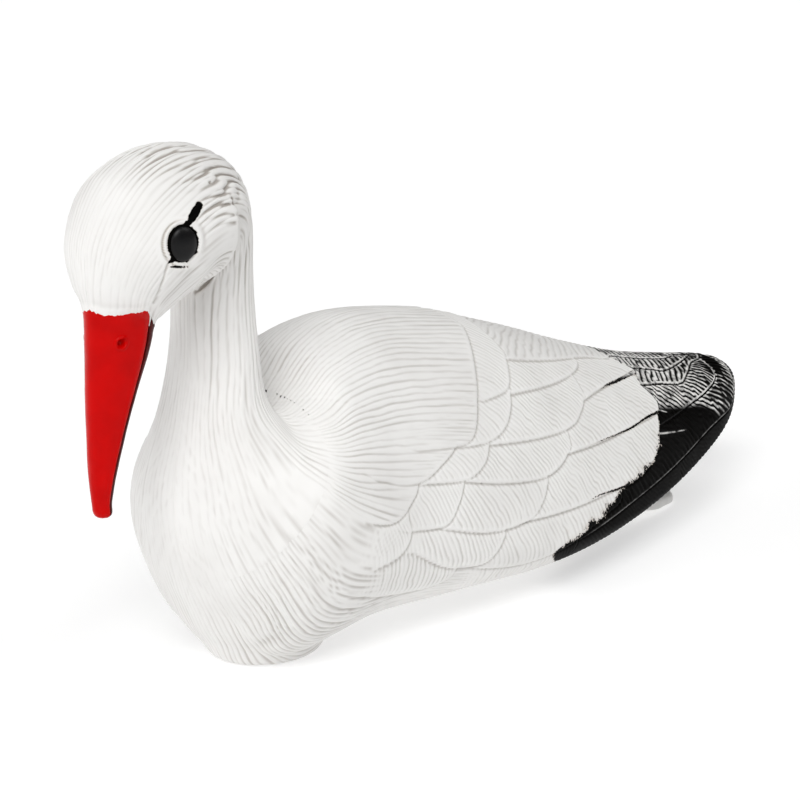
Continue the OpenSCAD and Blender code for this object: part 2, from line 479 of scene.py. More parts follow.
def smooth_path(points: tuple, steps: int = 6) -> np.ndarray:
    """A rounded line through a few points."""
    table = np.array(points, float)
    return catmull_rom(table, np.linspace(0, len(table) - 1, (len(table) - 1) * steps + 1))


def edge_distance(path: np.ndarray, y: np.ndarray, g: np.ndarray) -> np.ndarray:
    """Distance from an edge on the wing's chart, positive above and in front of it.

    Args:
        path: The edge's points, from the tip's upper end down and forward.
        y: Place along the body of each point asked for.
        g: Its girth.

    Returns:
        The signed distances in millimetres.
    """
    line = np.vstack([path[0] + (0, 400), path, path[-1] + (-700, 0)])
    best = np.full(y.shape, 1e9)
    sign = np.ones(y.shape)
    for a, b in zip(line[:-1], line[1:]):
        d = b - a
        dist, _ = capsule(y, g, a, b)
        closer = dist < best
        best = np.where(closer, dist, best)
        ahead = (y - a[0]) * d[1] - (g - a[1]) * d[0] >= 0
        sign = np.where(closer, np.where(ahead, 1.0, -1.0), sign)
    return best * sign


def near_line(path: np.ndarray, y: np.ndarray, g: np.ndarray) -> tuple:
    """Distance from a line on the wing's chart, and how far along it the nearest point is.

    Args:
        path: The line's points.
        y: Place along the body of each point asked for.
        g: Its girth.

    Returns:
        The distances in millimetres, and the places along the line from 0 to 1.
    """
    best = np.full(y.shape, 1e9)
    reach = np.zeros(y.shape)
    for k, (a, b) in enumerate(zip(path[:-1], path[1:])):
        dist, t = capsule(y, g, a, b)
        reach = np.where(dist < best, (k + t) / (len(path) - 1), reach)
        best = np.minimum(best, dist)
    return best, reach


def capsule(a: np.ndarray, b: np.ndarray, start: tuple, end: tuple) -> tuple:
    """Distance from a short straight line, and the place along it.

    Args:
        a: First coordinates of the points asked for.
        b: Their second coordinates.
        start: Where the line starts.
        end: Where it ends.

    Returns:
        The distances, and the places along the line from 0 to 1.
    """
    da, db = end[0] - start[0], end[1] - start[1]
    t = np.clip(((a - start[0]) * da + (b - start[1]) * db) / (da * da + db * db), 0, 1)
    return np.hypot(a - start[0] - t * da, b - start[1] - t * db), t


def soft_inside(distance: np.ndarray) -> np.ndarray:
    """1 where a distance is negative and 0 where it is positive, with a soft edge of 0.6 mm."""
    return smoothstep(0.3, -0.3, distance)


def groove_profile(cycles: np.ndarray, sharpness: float) -> np.ndarray:
    """Depth across grooves that repeat once a cycle: a sharp cut blended with a soft wave."""
    sharp = (1 - np.abs(np.sin(np.pi * cycles))) ** 1.3
    return sharpness * sharp + (1 - sharpness) * (0.5 + 0.5 * np.cos(2 * np.pi * cycles))


def turned(net: Net, degrees: float) -> tuple:
    """Places along and across a direction on the wing's chart.

    Args:
        net: The places.
        degrees: The direction's angle from the length of the bird.

    Returns:
        How far along it and how far across it each place is.
    """
    turn = math.radians(degrees)
    along = math.cos(turn) * net.y + math.sin(turn) * net.girth
    return along, -math.sin(turn) * net.y + math.cos(turn) * net.girth


# ---------------------------------------------------------------- relief of the moulded skin


@dataclass
class Skin:
    """What the moulded skin adds to the plain form: its height, where paint lies, where painted shade and
    some dirt grey it, and where painted highlights lighten it.
    """

    height: np.ndarray
    black: np.ndarray
    groove_shade: np.ndarray
    wear_and_sheen: np.ndarray


@dataclass
class Relief:
    """Carves the feather relief of one side of the bird."""

    form: LoftForm
    side: Side
    groove_pitch: float = 3.1
    groove_depth: float = 0.8
    base_frequency: float = 0.21
    # Depth in millimetres below the neighbours at which the painted groove shade is full
    full_groove_shade: float = 0.42
    feather_fall: float = 20.0
    # Strength of the pale line along the lined primary's edge: rubbed paint and painted highlight
    edge_wear_and_sheen_strength: float = 0.36
    chart: Chart = field(init=False)

    def __post_init__(self) -> None:
        """Measures the form and seeds this side's noise."""
        self.chart = Chart.of(self.form)
        seed = {Side.LEFT: 11, Side.RIGHT: 47}[self.side]
        self.wander, self.vary, self.patch = Noise(seed), Noise(seed + 1), Noise(seed + 2)

    def strands(self, cycles: np.ndarray, along: np.ndarray) -> np.ndarray:
        """Grooves side by side, each with its own depth that comes and goes.

        Args:
            cycles: Place across the grooves, one unit for each groove.
            along: Place along the grooves in millimetres.

        Returns:
            Depth from 0 to about 1.
        """
        x = cycles + 0.5 * self.wander.at(cycles * 0.37, along / 38)
        x = x + 0.14 * self.wander.at(cycles * 0.9 + 50, along / 12)
        strength = 0.78 + 0.5 * self.vary.at(np.round(x) * 7.31, along / 40)
        return groove_profile(x, 0.6) * np.clip(strength, 0.2, 1.2)

    def flow(self, net: Net) -> np.ndarray:
        """Grooves that run from the head down the neck and over the body, and branch as it widens.

        Args:
            net: The places.

        Returns:
            Depth from 0 to about 1, and up to 2 in the folds of the nape.
        """
        u, angle, along = net.u, net.angle, net.along
        level = np.log2(np.maximum(net.across_scale, 0.05) / (self.groove_pitch * self.base_frequency))
        low = np.floor(level)
        share = smoothstep(0.35, 0.65, level - low)
        flank = window(u, *FLANK) * smoothstep(10, -20, angle)
        curve, wiggle = self.patch.at(along / 26, angle / 12), self.wander.at(along / 10, angle / 6)
        bend = flank * (4.5 * curve + 0.8 * wiggle)
        sway = 1.6 * self.patch.at(along / 30 + 70, angle / 16) * smoothstep(10.5, 9.0, u)
        place = angle + (bend + sway) * 0.3
        coarse = self.strands(place * self.base_frequency * 2**low, along)
        fine = self.strands(place * self.base_frequency * 2 ** (low + 1), along)
        folds = window(u, *NAPE_FOLDS) * smoothstep(-12, 8, angle)
        swirl = 7.0 * self.wander.at(along / 24, angle / 24) + 1.6 * self.vary.at(along / 9, angle / 10)
        deep = self.strands((angle + swirl) * 0.1, along + 60)
        return (coarse * (1 - share) + fine * share) * (1 - 0.35 * folds) + 1.7 * deep * folds

    def flow_depth(self, net: Net) -> np.ndarray:
        """How deep the flow grooves are over the bird.

        Args:
            net: The places.

        Returns:
            A share of the grooves' full depth.
        """
        u, angle = net.u, net.angle
        depth = np.full(angle.shape, 0.85)
        depth *= 1 - 0.62 * smoothstep(-48, -72, angle) * window(u, *BREAST)
        depth *= 1 - 0.60 * smoothstep(17.2, 18.6, u) * smoothstep(-10, 30, angle)
        depth *= 1 + 0.9 * window(u, *NAPE) * smoothstep(-5, 40, angle)
        depth *= 1 + 0.6 * window(u, *NECK_BACK) * smoothstep(-20, 40, angle)
        depth *= 1 - 0.35 * window(u, *NECK_FOOT)
        depth *= 1 + 0.7 * window(u, *LOW_FLANK) * smoothstep(0, -34, angle)
        depth *= 1 - 0.25 * smoothstep(9, 7, u) * smoothstep(40, 75, angle)
        return depth * (0.8 + 0.45 * self.patch.at(u * 1.3, angle / 19))

    def wing(self, h: np.ndarray, net: Net, body: np.ndarray) -> np.ndarray:
        """Lays the wing feathers over the skin, the hindmost and lowest first.

        Args:
            h: Height of the skin so far.
            net: The places.
            body: The body's own grooves, which the scapulars keep.

        Returns:
            The height with the feathers.
        """
        for number, feather in enumerate(FEATHERS + SCAPULARS):
            e = edge_distance(smooth_path(feather.edge), net.y, net.girth)
            front = feather.edge[-1][0]
            fade = smoothstep(front - 18, front + 16, net.y)
            cover = smoothstep(-0.35, 0.45, e) * fade
            rise = feather.height * (0.10 + 0.90 * np.exp(-np.maximum(e, 0) / self.feather_fall))
            if feather in SCAPULARS:
                surface = body + rise
            else:
                surface = rise - self.barbs(feather, number, net, e)
            surface = surface - 0.25 * np.exp(-np.maximum(e, 0) / 0.9)
            gutter = 0.5 * bell(e + 0.75, 0.55) * fade
            h = (h - gutter) * (1 - cover) + surface * cover
        return h

    def barbs(self, feather: Feather, number: int, net: Net, e: np.ndarray) -> np.ndarray:
        """A feather's barbs, which curve a little and fade out at its very edge.

        Args:
            feather: The feather.
            number: Its place in the order of laying, which varies its pattern.
            net: The places.
            e: Their distance from the feather's edge.

        Returns:
            The barbs' depth.
        """
        along, across = turned(net, feather.barb_angle + 3.0 * math.sin(number * 2.4))
        bend = 1.5 * self.wander.at(along / 13 + number * 9, across / 22)
        bend = bend + 4.5 * np.exp(-np.maximum(e, 0) / 9.0)
        bend = bend + 0.7 * self.wander.at(along / 4.5, across / 9 + number * 7)
        cycles = (across + bend) / feather.barb_pitch + number * 0.37
        strength = np.clip(0.85 + 0.5 * self.vary.at(np.round(cycles) * 5.3 + number, along / 11), 0.2, 1.3)
        return feather.barb_depth * groove_profile(cycles, 0.55) * strength * smoothstep(0.2, 2.2, e)

    def head(self, h: np.ndarray, net: Net) -> tuple:
        """Carves the eyelids, the cheek's edge, a pinhole on the nape and the lip where the bill goes in.

        Args:
            h: Height of the skin so far.
            net: The places.

        Returns:
            The new height, the black paint around the eye, and the painted shadow under the jaw.
        """
        h, black = self.eyelids(h, net)
        h, jaw_shadow = self.cheek(h, net)
        pin_u = (net.u - PINHOLE_STATION) * net.along_scale
        pin_angle = (net.angle - PINHOLE_ANGLE) * net.across_scale
        h = h - 1.1 * smoothstep(0.85, 0.45, np.hypot(pin_u, pin_angle))
        paint_edge = np.interp(net.angle, *zip(*PAINT_EDGE))
        lip = bell((net.u - paint_edge + 0.05) * net.along_scale / 2.6, 1.0)
        return h + 0.5 * lip * (net.u > BILL_BASE_RING), black, jaw_shadow

    def eyelids(self, h: np.ndarray, net: Net) -> tuple:
        """Carves the lids, the brow stroke and the crease from the eye down to the bill.

        Args:
            h: Height of the skin so far.
            net: The places.

        Returns:
            The new height, and the black paint of the eye's rim, the brow and the dash under the eye.
        """
        n = self.form.normal(EYE_STATION, EYE_ANGLE)
        ahead = np.cross(n, (0, 0, 1))
        ahead = -np.sign(ahead[1]) * ahead / np.linalg.norm(ahead)
        up = np.cross(ahead, n)
        up = np.sign(up[2]) * up
        d = net.points - self.form.place(EYE_STATION, EYE_ANGLE)
        a, b = d @ ahead, d @ up
        near = (net.u > 15.8) & (d @ n > -16)
        r = np.maximum(np.hypot(a, b * 0.93), 1e-6)
        lens = np.hypot((a + 0.4) / 6.6, (b + 0.4) / 8.1)
        paint = np.hypot(a / 8.3, b / 9.8)
        ring = np.hypot(a / 10.7, b / 11.6)
        front = smoothstep(-0.45, 0.5, a / r)
        below = smoothstep(0.45, 0.9, -b / r)
        lid = 0.7 * bell((paint - 1.16) * 8, 1.1)
        lid -= 0.9 * bell((ring - 1) * 10, 0.6) * np.maximum(front, 0.8 * below)
        lid -= 0.35 * bell((paint - 1) * 8, 0.5)
        h = np.where(near, h * smoothstep(0.95, 1.45, ring) + lid - 1.3 * smoothstep(1.05, 0.98, lens), h)
        brow_e, brow_t = capsule(a, b, *BROW)
        brow_width = 1.2 + 1.1 * smoothstep(0.30, 0.45, brow_t) - 0.5 * smoothstep(0.8, 1.0, brow_t)
        brow_width += 0.25 * self.wander.at(brow_t * 9, brow_e * 0 + 3)
        brow = soft_inside(brow_e - brow_width) * near
        h = h - 0.45 * brow
        crease = np.minimum(*(capsule(a, b, *line)[0] for line in CREASES))
        h = h - 0.75 * bell(crease, 0.7) * near
        corner_e, corner_t = capsule(a, b, *FRONT_CORNER)
        peak_e, peak_t = capsule(a, b, *TOP_PEAK)
        dash_e, dash_t = capsule(a, b, *DASH)
        strokes = (
            smoothstep(1.03, 0.97, paint + 0.02 * self.wander.at(a * 0.8, b * 0.8)),
            brow,
            soft_inside(corner_e - 2.4 * (1 - corner_t) - 0.35),
            soft_inside(peak_e - 2.8 * (1 - peak_t) - 0.9),
            0.85 * soft_inside(dash_e - 0.25 - 0.4 * np.sin(np.pi * np.clip(dash_t * 0.9 + 0.1, 0, 1))),
            0.5 * bell((ring - 1) * 10, 0.4) * front,
        )
        return h, np.where(near, np.maximum.reduce(strokes), 0.0)

    @staticmethod
    def cheek(h: np.ndarray, net: Net) -> tuple:
        """Raises the cheek's hind edge over the neck.

        Args:
            h: Height of the skin so far.
            net: The places.

        Returns:
            The new height, and the painted shadow in the corner under the edge.
        """
        gap = (net.u - np.interp(net.angle, *zip(*CHEEK_EDGE))) * net.along_scale
        cheek = window(net.angle, (-88, -66), (8, 26))
        h = h + cheek * (2.8 * smoothstep(-1.9, 1.6, gap) * np.exp(-np.maximum(gap, 0) / 14.0))
        h = h - cheek * 1.7 * bell(gap + 2.0, 1.7)
        # Painted shadow: the corner under the cheek's edge is greyed
        jaw_shadow = cheek * (0.4 * bell(gap + 1.6, 2.4) + 0.3 * smoothstep(-22, -2, gap) * smoothstep(0, -2, gap))
        return h, jaw_shadow

    def torso(self, h: np.ndarray, net: Net, body: np.ndarray) -> tuple:
        """Lays the wing on the body, parts the wing tips, presses the dent and paints the black.

        Args:
            h: Height of the skin so far.
            net: The places.
            body: The body's own grooves.

        Returns:
            The new height, the black paint, where its ridges are painted pale, and the pale lines on it; the
            pale is rubbed paint and painted highlight.
        """
        y, g = net.y, net.girth
        share = smoothstep(9.4, 8.6, net.u)
        h = h * (1 - share) + self.wing(h, net, body) * share
        parting = bell(np.abs(net.points[..., 0]), 3.2) * window(y, (165, 250), (430, 452))
        h = h - 2.2 * parting * (net.angle > 0)
        dent = bell((net.u - DENT_STATION) * net.along_scale, 5.5)
        dent = dent * bell((net.angle - DENT_ANGLE) * net.across_scale, 9.0)
        h = h - 1.7 * dent
        # Rubbed black and painted highlight: the barbs above this edge are painted pale
        wear_and_sheen = smoothstep(-1.5, 3.0, edge_distance(smooth_path(WEAR_AND_SHEEN_EDGE), y, g)) * smoothstep(280, 300, y)
        # A pale line along the lined primary's edge, and two short strokes: rubbed black and painted
        # highlight
        edge_wear_and_sheen = bell(edge_distance(smooth_path(LINED_PRIMARY.edge), y, g) - 0.3, 0.5)
        pale = self.edge_wear_and_sheen_strength * edge_wear_and_sheen * smoothstep(190, 215, y)
        for start, end in GLINTS:
            way, reach = capsule(y, g, start, end)
            pale = np.maximum(pale, 0.9 * smoothstep(0.9 - 0.6 * reach, 0.1, way))
        return h, self.black_tips(net), wear_and_sheen, pale

    def skin(self, u: np.ndarray, angle: np.ndarray) -> Skin:
        """The skin over a net of places.

        Args:
            u: Places along the stations.
            angle: Angles around the rings; past the centre plane they fold back.

        Returns:
            Height, black paint, painted shade in the grooves and creases, and pale ridges of rubbed paint and
            painted highlight, for each place of the net.
        """
        folded = np.where(angle > 90, 180 - angle, np.where(angle < -90, -180 - angle, angle))
        net = self.chart.net(u, folded)
        along, g = net.along, net.girth
        body = -self.groove_depth * self.flow(net) * self.flow_depth(net)
        body = body + 0.35 * self.patch.at(along / 38, g / 30)
        body = body + (0.03 + 0.06 * bell(net.u - 13.0, 2.2)) * self.vary.at(along / 6, g / 1.8)
        body = body + 0.08 * self.wander.at(along / 22, g / 3.1 + 31)
        h = body.copy()
        black, wear_and_sheen, pale, jaw_shadow = (np.zeros(h.shape) for _ in range(4))
        if u.min() < WING_END:
            h, black, wear_and_sheen, pale = self.torso(h, net, body)
        if u.max() > HEAD_START:
            h, paint, jaw_shadow = self.head(h, net)
            black = np.maximum(black, paint)
        h = h * (0.25 + 0.75 * smoothstep(0.2, 3.2, np.abs(net.points[..., 0])))
        # Painted shade: the skin is greyed where it lies below its neighbours, in grooves and creases, more
        # so on the nape and under the cheek's edge
        below = np.clip((self.blur(h, 4) - h) / self.full_groove_shade, 0, 1)
        groove_shade = below * (1 + 0.9 * window(net.u, *NAPE_DIRT_AND_SHADE)) + jaw_shadow
        # Ridges stand above their neighbours; on them the black is painted pale, as rubbed paint and as a
        # painted highlight
        above = h - self.blur(h, 3) - 0.12 * smoothstep(330, 430, net.y)
        ridge = smoothstep(-0.05, 0.05, above)
        return Skin(h, np.clip(black, 0, 1), groove_shade, np.maximum(ridge * wear_and_sheen, pale))

    @staticmethod
    def blur(h: np.ndarray, reach: int) -> np.ndarray:
        """Box average of a net over a few neighbours both ways.

        Args:
            h: The net's values.
            reach: How many neighbours on each side.

        Returns:
            The averages.
        """
        width = 2 * reach + 1
        out = h
        for axis in (0, 1):
            pad = [(reach, reach) if k == axis else (0, 0) for k in (0, 1)]
            total = np.cumsum(np.pad(out, pad, mode="edge"), axis=axis)
            total = np.insert(total, 0, 0.0, axis=axis)
            upper = np.take(total, np.arange(width, total.shape[axis]), axis=axis)
            lower = np.take(total, np.arange(0, total.shape[axis] - width), axis=axis)
            out = (upper - lower) / width
        return out

    def black_tips(self, net: Net) -> np.ndarray:
        """The black of the wing tips, with a ragged, brushed front edge and dark cracks ahead of it.

        Args:
            net: The places.

        Returns:
            How black each place is, from 0 to 1.
        """
        y, g = net.y, net.girth
        e = -edge_distance(smooth_path(BLACK_EDGE, 5), y, g)
        along, across = turned(net, -40.0)
        streak = self.vary.at(across / 3.0, along / 7) * 0.5 + self.wander.at(across / 6.0, along / 14) * 0.5
        brushed = bell(g - 30, 12.0) + 1.1 * bell(g - 8, 10.0) + 0.5 * smoothstep(-6, -14, g)
        black = smoothstep(-0.8 - 4.2 * brushed, 0.8 + 3.2 * brushed, e + (0.6 + 4.0 * brushed) * streak)
        dabs = 0.75 * smoothstep(0.30, 0.62, streak) * smoothstep(-11.0, -1.0, e) * np.minimum(brushed, 1)
        black = np.maximum(black, dabs * (0.5 + 0.5 * self.patch.at(y / 2.3, g / 2.3)))
        for path, half_width in CRACKS:
            way, reach = near_line(smooth_path(path, 4), y, g)
            narrowed = half_width * (1 - 0.8 * reach)
            black = np.maximum(black, smoothstep(0.4, -0.4, way - narrowed) * smoothstep(1.0, 0.6, reach))
        above_edge = edge_distance(smooth_path(LOWEST_PRIMARY.edge), y, g)
        black = black * smoothstep(150, 160, y) * smoothstep(-0.6, 0.6, above_edge)
        return np.maximum(black, smoothstep(443, 449, y))


# ---------------------------------------------------------------- node graphs and finishes


class Value:
    """A number inside a node graph; arithmetic on it adds Math nodes."""

    def __init__(self, graph: "Graph", socket: bpy.types.NodeSocket) -> None:
        """Keeps the graph and the socket that holds the number."""
        self.graph = graph
        self.socket = socket

    def math(self, operation: str, left: object, right: object = None) -> "Value":
        """One Math node on two values or numbers."""
        inputs = {0: left} if right is None else {0: left, 1: right}
        return self.graph.node("ShaderNodeMath", {"operation": operation}, inputs)

    def __add__(self, other: object) -> "Value":
        """Sum."""
        return self.math("ADD", self, other)

    __radd__ = __add__

    def __sub__(self, other: object) -> "Value":
        """Difference."""
        return self.math("SUBTRACT", self, other)

    def __rsub__(self, other: object) -> "Value":
        """Difference from a number."""
        return self.math("SUBTRACT", other, self)

    def __mul__(self, other: object) -> "Value":
        """Product."""
        return self.math("MULTIPLY", self, other)

    __rmul__ = __mul__

    def __truediv__(self, other: object) -> "Value":
        """Quotient."""
        return self.math("DIVIDE", self, other)


class Graph:
    """A node tree that is filled by one method."""

    def __init__(self, tree: bpy.types.NodeTree) -> None:
        """Keeps the tree."""
        self.tree = tree

    def node(
        self, kind: str, settings: dict | None = None, inputs: dict | None = None, output: object = 0
    ) -> Value:
        """Adds a node.

        Args:
            kind: The node's type.
            settings: Its own settings, and "stops" for a colour ramp, set before its sockets.
            inputs: Values or links for its sockets, by name or number.
            output: The name or number of the output that is handed back.

        Returns:
            That output.
        """
        node = self.tree.nodes.new(kind)
        for name, value in (settings or {}).items():
            if name == "stops":
                self.ramp(node, value)
            else:
                setattr(node, name, value)
        for name, value in (inputs or {}).items():
            if isinstance(value, Value):
                self.tree.links.new(value.socket, node.inputs[name])
            else:
                node.inputs[name].default_value = value
        return Value(self, node.outputs[output] if len(node.outputs) else node.inputs[0])

    def attribute(self, name: str) -> Value:
        """A number that the mesh stores at each vertex."""
        return self.node("ShaderNodeAttribute", {"attribute_name": name}, output="Fac")

    @staticmethod
    def ramp(node: bpy.types.Node, stops: tuple) -> None:
        """Sets a colour ramp's stops.

        Args:
            node: The ramp.
            stops: Each stop's place and colour.
        """
        elements = node.color_ramp.elements
        while len(elements) < len(stops):
            elements.new(0.5)
        for element, (place, colour) in zip(elements, stops):
            element.position = place
            element.color = colour


@dataclass(frozen=True)
class Finish:
    """A moulded plastic or paint with a fine skin texture and slow changes of tone.

    Colours are linear, the texture's size is in millimetres.
    """

    name: str
    colour: tuple
    shade: tuple
    roughness: float = 0.4
    roughness_change: float = 0.08
    specular: float = 0.5
    grain: float = 0.9
    grain_height: float = 0.00002
    cloud: float = 30.0
    glow: float = 0.0

    def material(self) -> bpy.types.Material:
        """Builds the material."""
        made = bpy.data.materials.new(self.name)
        made.use_nodes = True
        made.node_tree.nodes.clear()
        graph = Graph(made.node_tree)
        place = graph.node("ShaderNodeTexCoord", output="Object")
        self.surface(graph, place)
        return made

    def noise(self, graph: Graph, place: Value, size: float, detail: float = 3.0) -> Value:
        """A noise of the given size in millimetres, from 0 to 1."""
        inputs = {"Vector": place, "Scale": 1000.0 / size, "Detail": detail, "Roughness": 0.55}
        return graph.node("ShaderNodeTexNoise", {"noise_dimensions": "3D"}, inputs, "Fac")

    def mix(self, graph: Graph, share: object, first: object, second: object) -> Value:
        """Mixes two colours by a share from 0 to 1."""
        inputs = {0: share, 6: first, 7: second}
        return graph.node("ShaderNodeMix", {"data_type": "RGBA", "clamp_factor": True}, inputs, 2)

    def ramp(self, graph: Graph, value: Value, low: float, high: float) -> Value:
        """Rises from 0 at low to 1 at high."""
        stops = ((low, (0, 0, 0, 1)), (high, (1, 1, 1, 1)))
        return graph.node("ShaderNodeValToRGB", {"stops": stops}, {"Fac": value})

    def tone(self, graph: Graph, place: Value) -> Value:
        """The finish's colour over the surface."""
        cloud = self.ramp(graph, self.noise(graph, place, self.cloud), 0.35, 0.7)
        return self.mix(graph, cloud, self.colour, self.shade)

    def gloss(self, graph: Graph, place: Value) -> Value:
        """The finish's roughness over the surface."""
        change = self.noise(graph, place, self.cloud * 0.45) - 0.5
        return change * (2 * self.roughness_change) + self.roughness

    def surface(self, graph: Graph, place: Value) -> None:
        """Adds the shader, its bump and the output.

        Args:
            graph: The material's nodes.
            place: Object coordinates.
        """
        height = self.noise(graph, place, self.grain)
        skin = {"Strength": 1.0, "Distance": self.grain_height, "Height": height}
        bump = graph.node("ShaderNodeBump", {}, skin)
        inputs = {
            "Base Color": self.tone(graph, place),
            "Roughness": self.gloss(graph, place),
            "Normal": bump,
            "Specular IOR Level": self.specular,
            "Emission Color": (1.0, 1.0, 1.0, 1.0),
            "Emission Strength": self.glow,
        }
        shader = graph.node("ShaderNodeBsdfPrincipled", {}, inputs)
        graph.node("ShaderNodeOutputMaterial", {}, {"Surface": shader})


@dataclass(frozen=True)
class FeatheredWhite(Finish):
    """The body's satin white, with painted grey shade in its grooves, and the black brushed over the wing
    tips.
    """

    # Grey of the painted shade in the grooves
    groove: tuple = (0.40, 0.37, 0.34, 1)
    black: tuple = (0.0016, 0.0014, 0.0012, 1)
    # Pale of the black's ridges: rubbed paint and painted highlight
    black_wear_and_sheen: tuple = (0.80, 0.79, 0.77, 1)
    stain: tuple = (0.36, 0.29, 0.22, 1)
    black_roughness: float = 0.5

    def tone(self, graph: Graph, place: Value) -> Value:
        """White with painted grey shade in the grooves, and black paint that is thinner on the ridges, which
        are painted pale as rubbed paint and as a painted highlight.

        Args:
            graph: The material's nodes.
            place: Object coordinates.

        Returns:
            The colour.
        """
        # Painted shade: the white is greyed where the skin is carved in
        white = self.mix(graph, graph.attribute("groove_shade") * 0.62, super().tone(graph, place), self.groove)
        # Rubbed black and painted highlight on the ridges
        wear_and_sheen = graph.attribute("wear_and_sheen") * self.ramp(graph, self.noise(graph, place, 7.0), 0.30, 0.55)
        paint = self.mix(graph, wear_and_sheen, self.black, self.black_wear_and_sheen)
        white = self.mix(graph, graph.attribute("black") * 0.8, white, self.stain)
        return self.mix(graph, self.paint(graph, place), white, paint)

    def paint(self, graph: Graph, place: Value) -> Value:
        """Where the black paint lies, broken into fine specks along its soft edges behind the head.

        Args:
            graph: The material's nodes.
            place: Object coordinates.

        Returns:
            A share from 0 to 1.
        """
        black = graph.attribute("black")
        specks = self.noise(graph, place, 1.6, 6.0) - 0.5
        behind = graph.node("ShaderNodeSeparateXYZ", {}, {"Vector": place}, "Y")
        soft = black * (1.0 - black) * self.ramp(graph, behind, 0.0, 0.1) * 14.0
        return self.ramp(graph, black + specks * soft, 0.40, 0.56)

    def gloss(self, graph: Graph, place: Value) -> Value:
        """Satin plastic, and slightly rougher paint."""
        rougher = self.black_roughness - self.roughness
        return super().gloss(graph, place) + self.paint(graph, place) * rougher


def grey(value: float) -> tuple:
    """A neutral colour."""
    return (value, value, value, 1)


WHITE_PLASTIC = FeatheredWhite(
    "satin_white_plastic", (0.83, 0.822, 0.806, 1), (0.775, 0.765, 0.748, 1), roughness=0.43,
    roughness_change=0.06, specular=0.02, grain=0.7, cloud=42.0,
)
RED_PAINT = Finish(
    "gloss_red_paint", (0.55, 0.0006, 0.0005, 1), (0.48, 0.0005, 0.0004, 1), roughness=0.22,
    roughness_change=0.05, specular=0.07, grain=1.1, grain_height=0.00003, cloud=14.0,
)
# Painted shade: the bill's red made darker for the lower half, which lies in shade
SHADED_RED_PAINT = Finish(
    "dark_red_paint", (0.08, 0.0008, 0.0008, 1), (0.05, 0.0006, 0.0006, 1), roughness=0.28,
    roughness_change=0.05, specular=0.08, grain=1.1, grain_height=0.00003, cloud=14.0,
)
BLACK_GLOSS = Finish(
    "gloss_black_eye", (0.003, 0.003, 0.0035, 1), (0.006, 0.0055, 0.0055, 1), roughness=0.36,
    roughness_change=0.03, specular=0.2, grain=0.8, grain_height=0.000004, cloud=6.0,
)
TAIL_PLASTIC = Finish(
    "white_tail_plastic", (0.84, 0.83, 0.81, 1), (0.76, 0.75, 0.73, 1), roughness=0.45, roughness_change=0.06,
    grain=0.7,
)
BLOCK_PLASTIC = Finish(
    "grey_block_plastic", (0.50, 0.49, 0.47, 1), (0.42, 0.41, 0.40, 1), roughness=0.55, roughness_change=0.06,
    grain=0.5,
)
PALE_FLOOR = Finish(
    "pale_floor", grey(0.56), grey(0.55), roughness=0.8, roughness_change=0.02, specular=0.1, grain=5.0,
    cloud=400.0, glow=0.52,
)


# ---------------------------------------------------------------- mesh helpers


def new_piece(name: str, points: np.ndarray, faces: list, finish: bpy.types.Material) -> bpy.types.Object:
    """Makes a mesh object from points in millimetres.

    Args:
        name: The piece's name.
        points: Its vertices.
        faces: Arrays of vertex numbers, one array for each number of corners.
        finish: Its material.

    Returns:
        The object, at the origin.
    """
    mesh = bpy.data.meshes.new(name)
    mesh.vertices.add(len(points))
    mesh.vertices.foreach_set("co", (points * MM).astype(np.float32).ravel())
    corners = np.concatenate([f.ravel() for f in faces])
    sizes = np.concatenate([np.full(len(f), f.shape[1]) for f in faces])
    starts = np.concatenate([[0], np.cumsum(sizes)[:-1]])
    mesh.loops.add(len(corners))
    mesh.loops.foreach_set("vertex_index", corners.astype(np.int32))
    mesh.polygons.add(len(sizes))
    mesh.polygons.foreach_set("loop_start", starts.astype(np.int32))
    mesh.update(calc_edges=True)
    mesh.validate()
    mesh.shade_smooth()
    mesh.materials.append(finish)
    piece = bpy.data.objects.new(name, mesh)
    bpy.context.scene.collection.objects.link(piece)
    return piece


def paint_attribute(piece: bpy.types.Object, name: str, values: np.ndarray) -> None:
    """Stores one number for each vertex."""
    attribute = piece.data.attributes.new(name, "FLOAT", "POINT")
    attribute.data.foreach_set("value", values.astype(np.float32))


def grid_faces(rows: int, columns: int, first: int = 0, wrap: bool = False, flip: bool = False) -> np.ndarray:
    """Quads of a net of vertices.

    Args:
        rows: The number of rows of vertices.
        columns: The number of vertices in a row.
        first: The number of the first vertex.
        wrap: Whether each row closes on itself.
        flip: Whether the faces are turned over.

    Returns:
        An array of quads.
    """
    number = first + np.arange(rows * columns).reshape(rows, columns)
    if wrap:
        number = np.hstack([number, number[:, :1]])
    a, b, c, d = number[:-1, :-1], number[:-1, 1:], number[1:, 1:], number[1:, :-1]
    order = (d, c, b, a) if flip else (a, b, c, d)
    return np.stack(order, -1).reshape(-1, 4)


def closed_tube(ring: np.ndarray, start: np.ndarray, end: np.ndarray) -> tuple:
    """Closes a net of rings with a fan of triangles at each end.

    Args:
        ring: The net, one closed ring in each row.
        start: The middle of the first ring's fan.
        end: The middle of the last ring's fan.

    Returns:
        The points and the faces.
    """
    rows, columns = ring.shape[:2]
    number = np.arange(rows * columns).reshape(rows, columns)
    points = np.concatenate([ring.reshape(-1, 3), [start], [end]])
    first = np.stack([np.full(columns, rows * columns), np.roll(number[0], -1), number[0]], -1)
    last = np.stack([np.full(columns, rows * columns + 1), number[-1], np.roll(number[-1], -1)], -1)
    return points, [grid_faces(rows, columns, wrap=True), np.concatenate([first, last])]


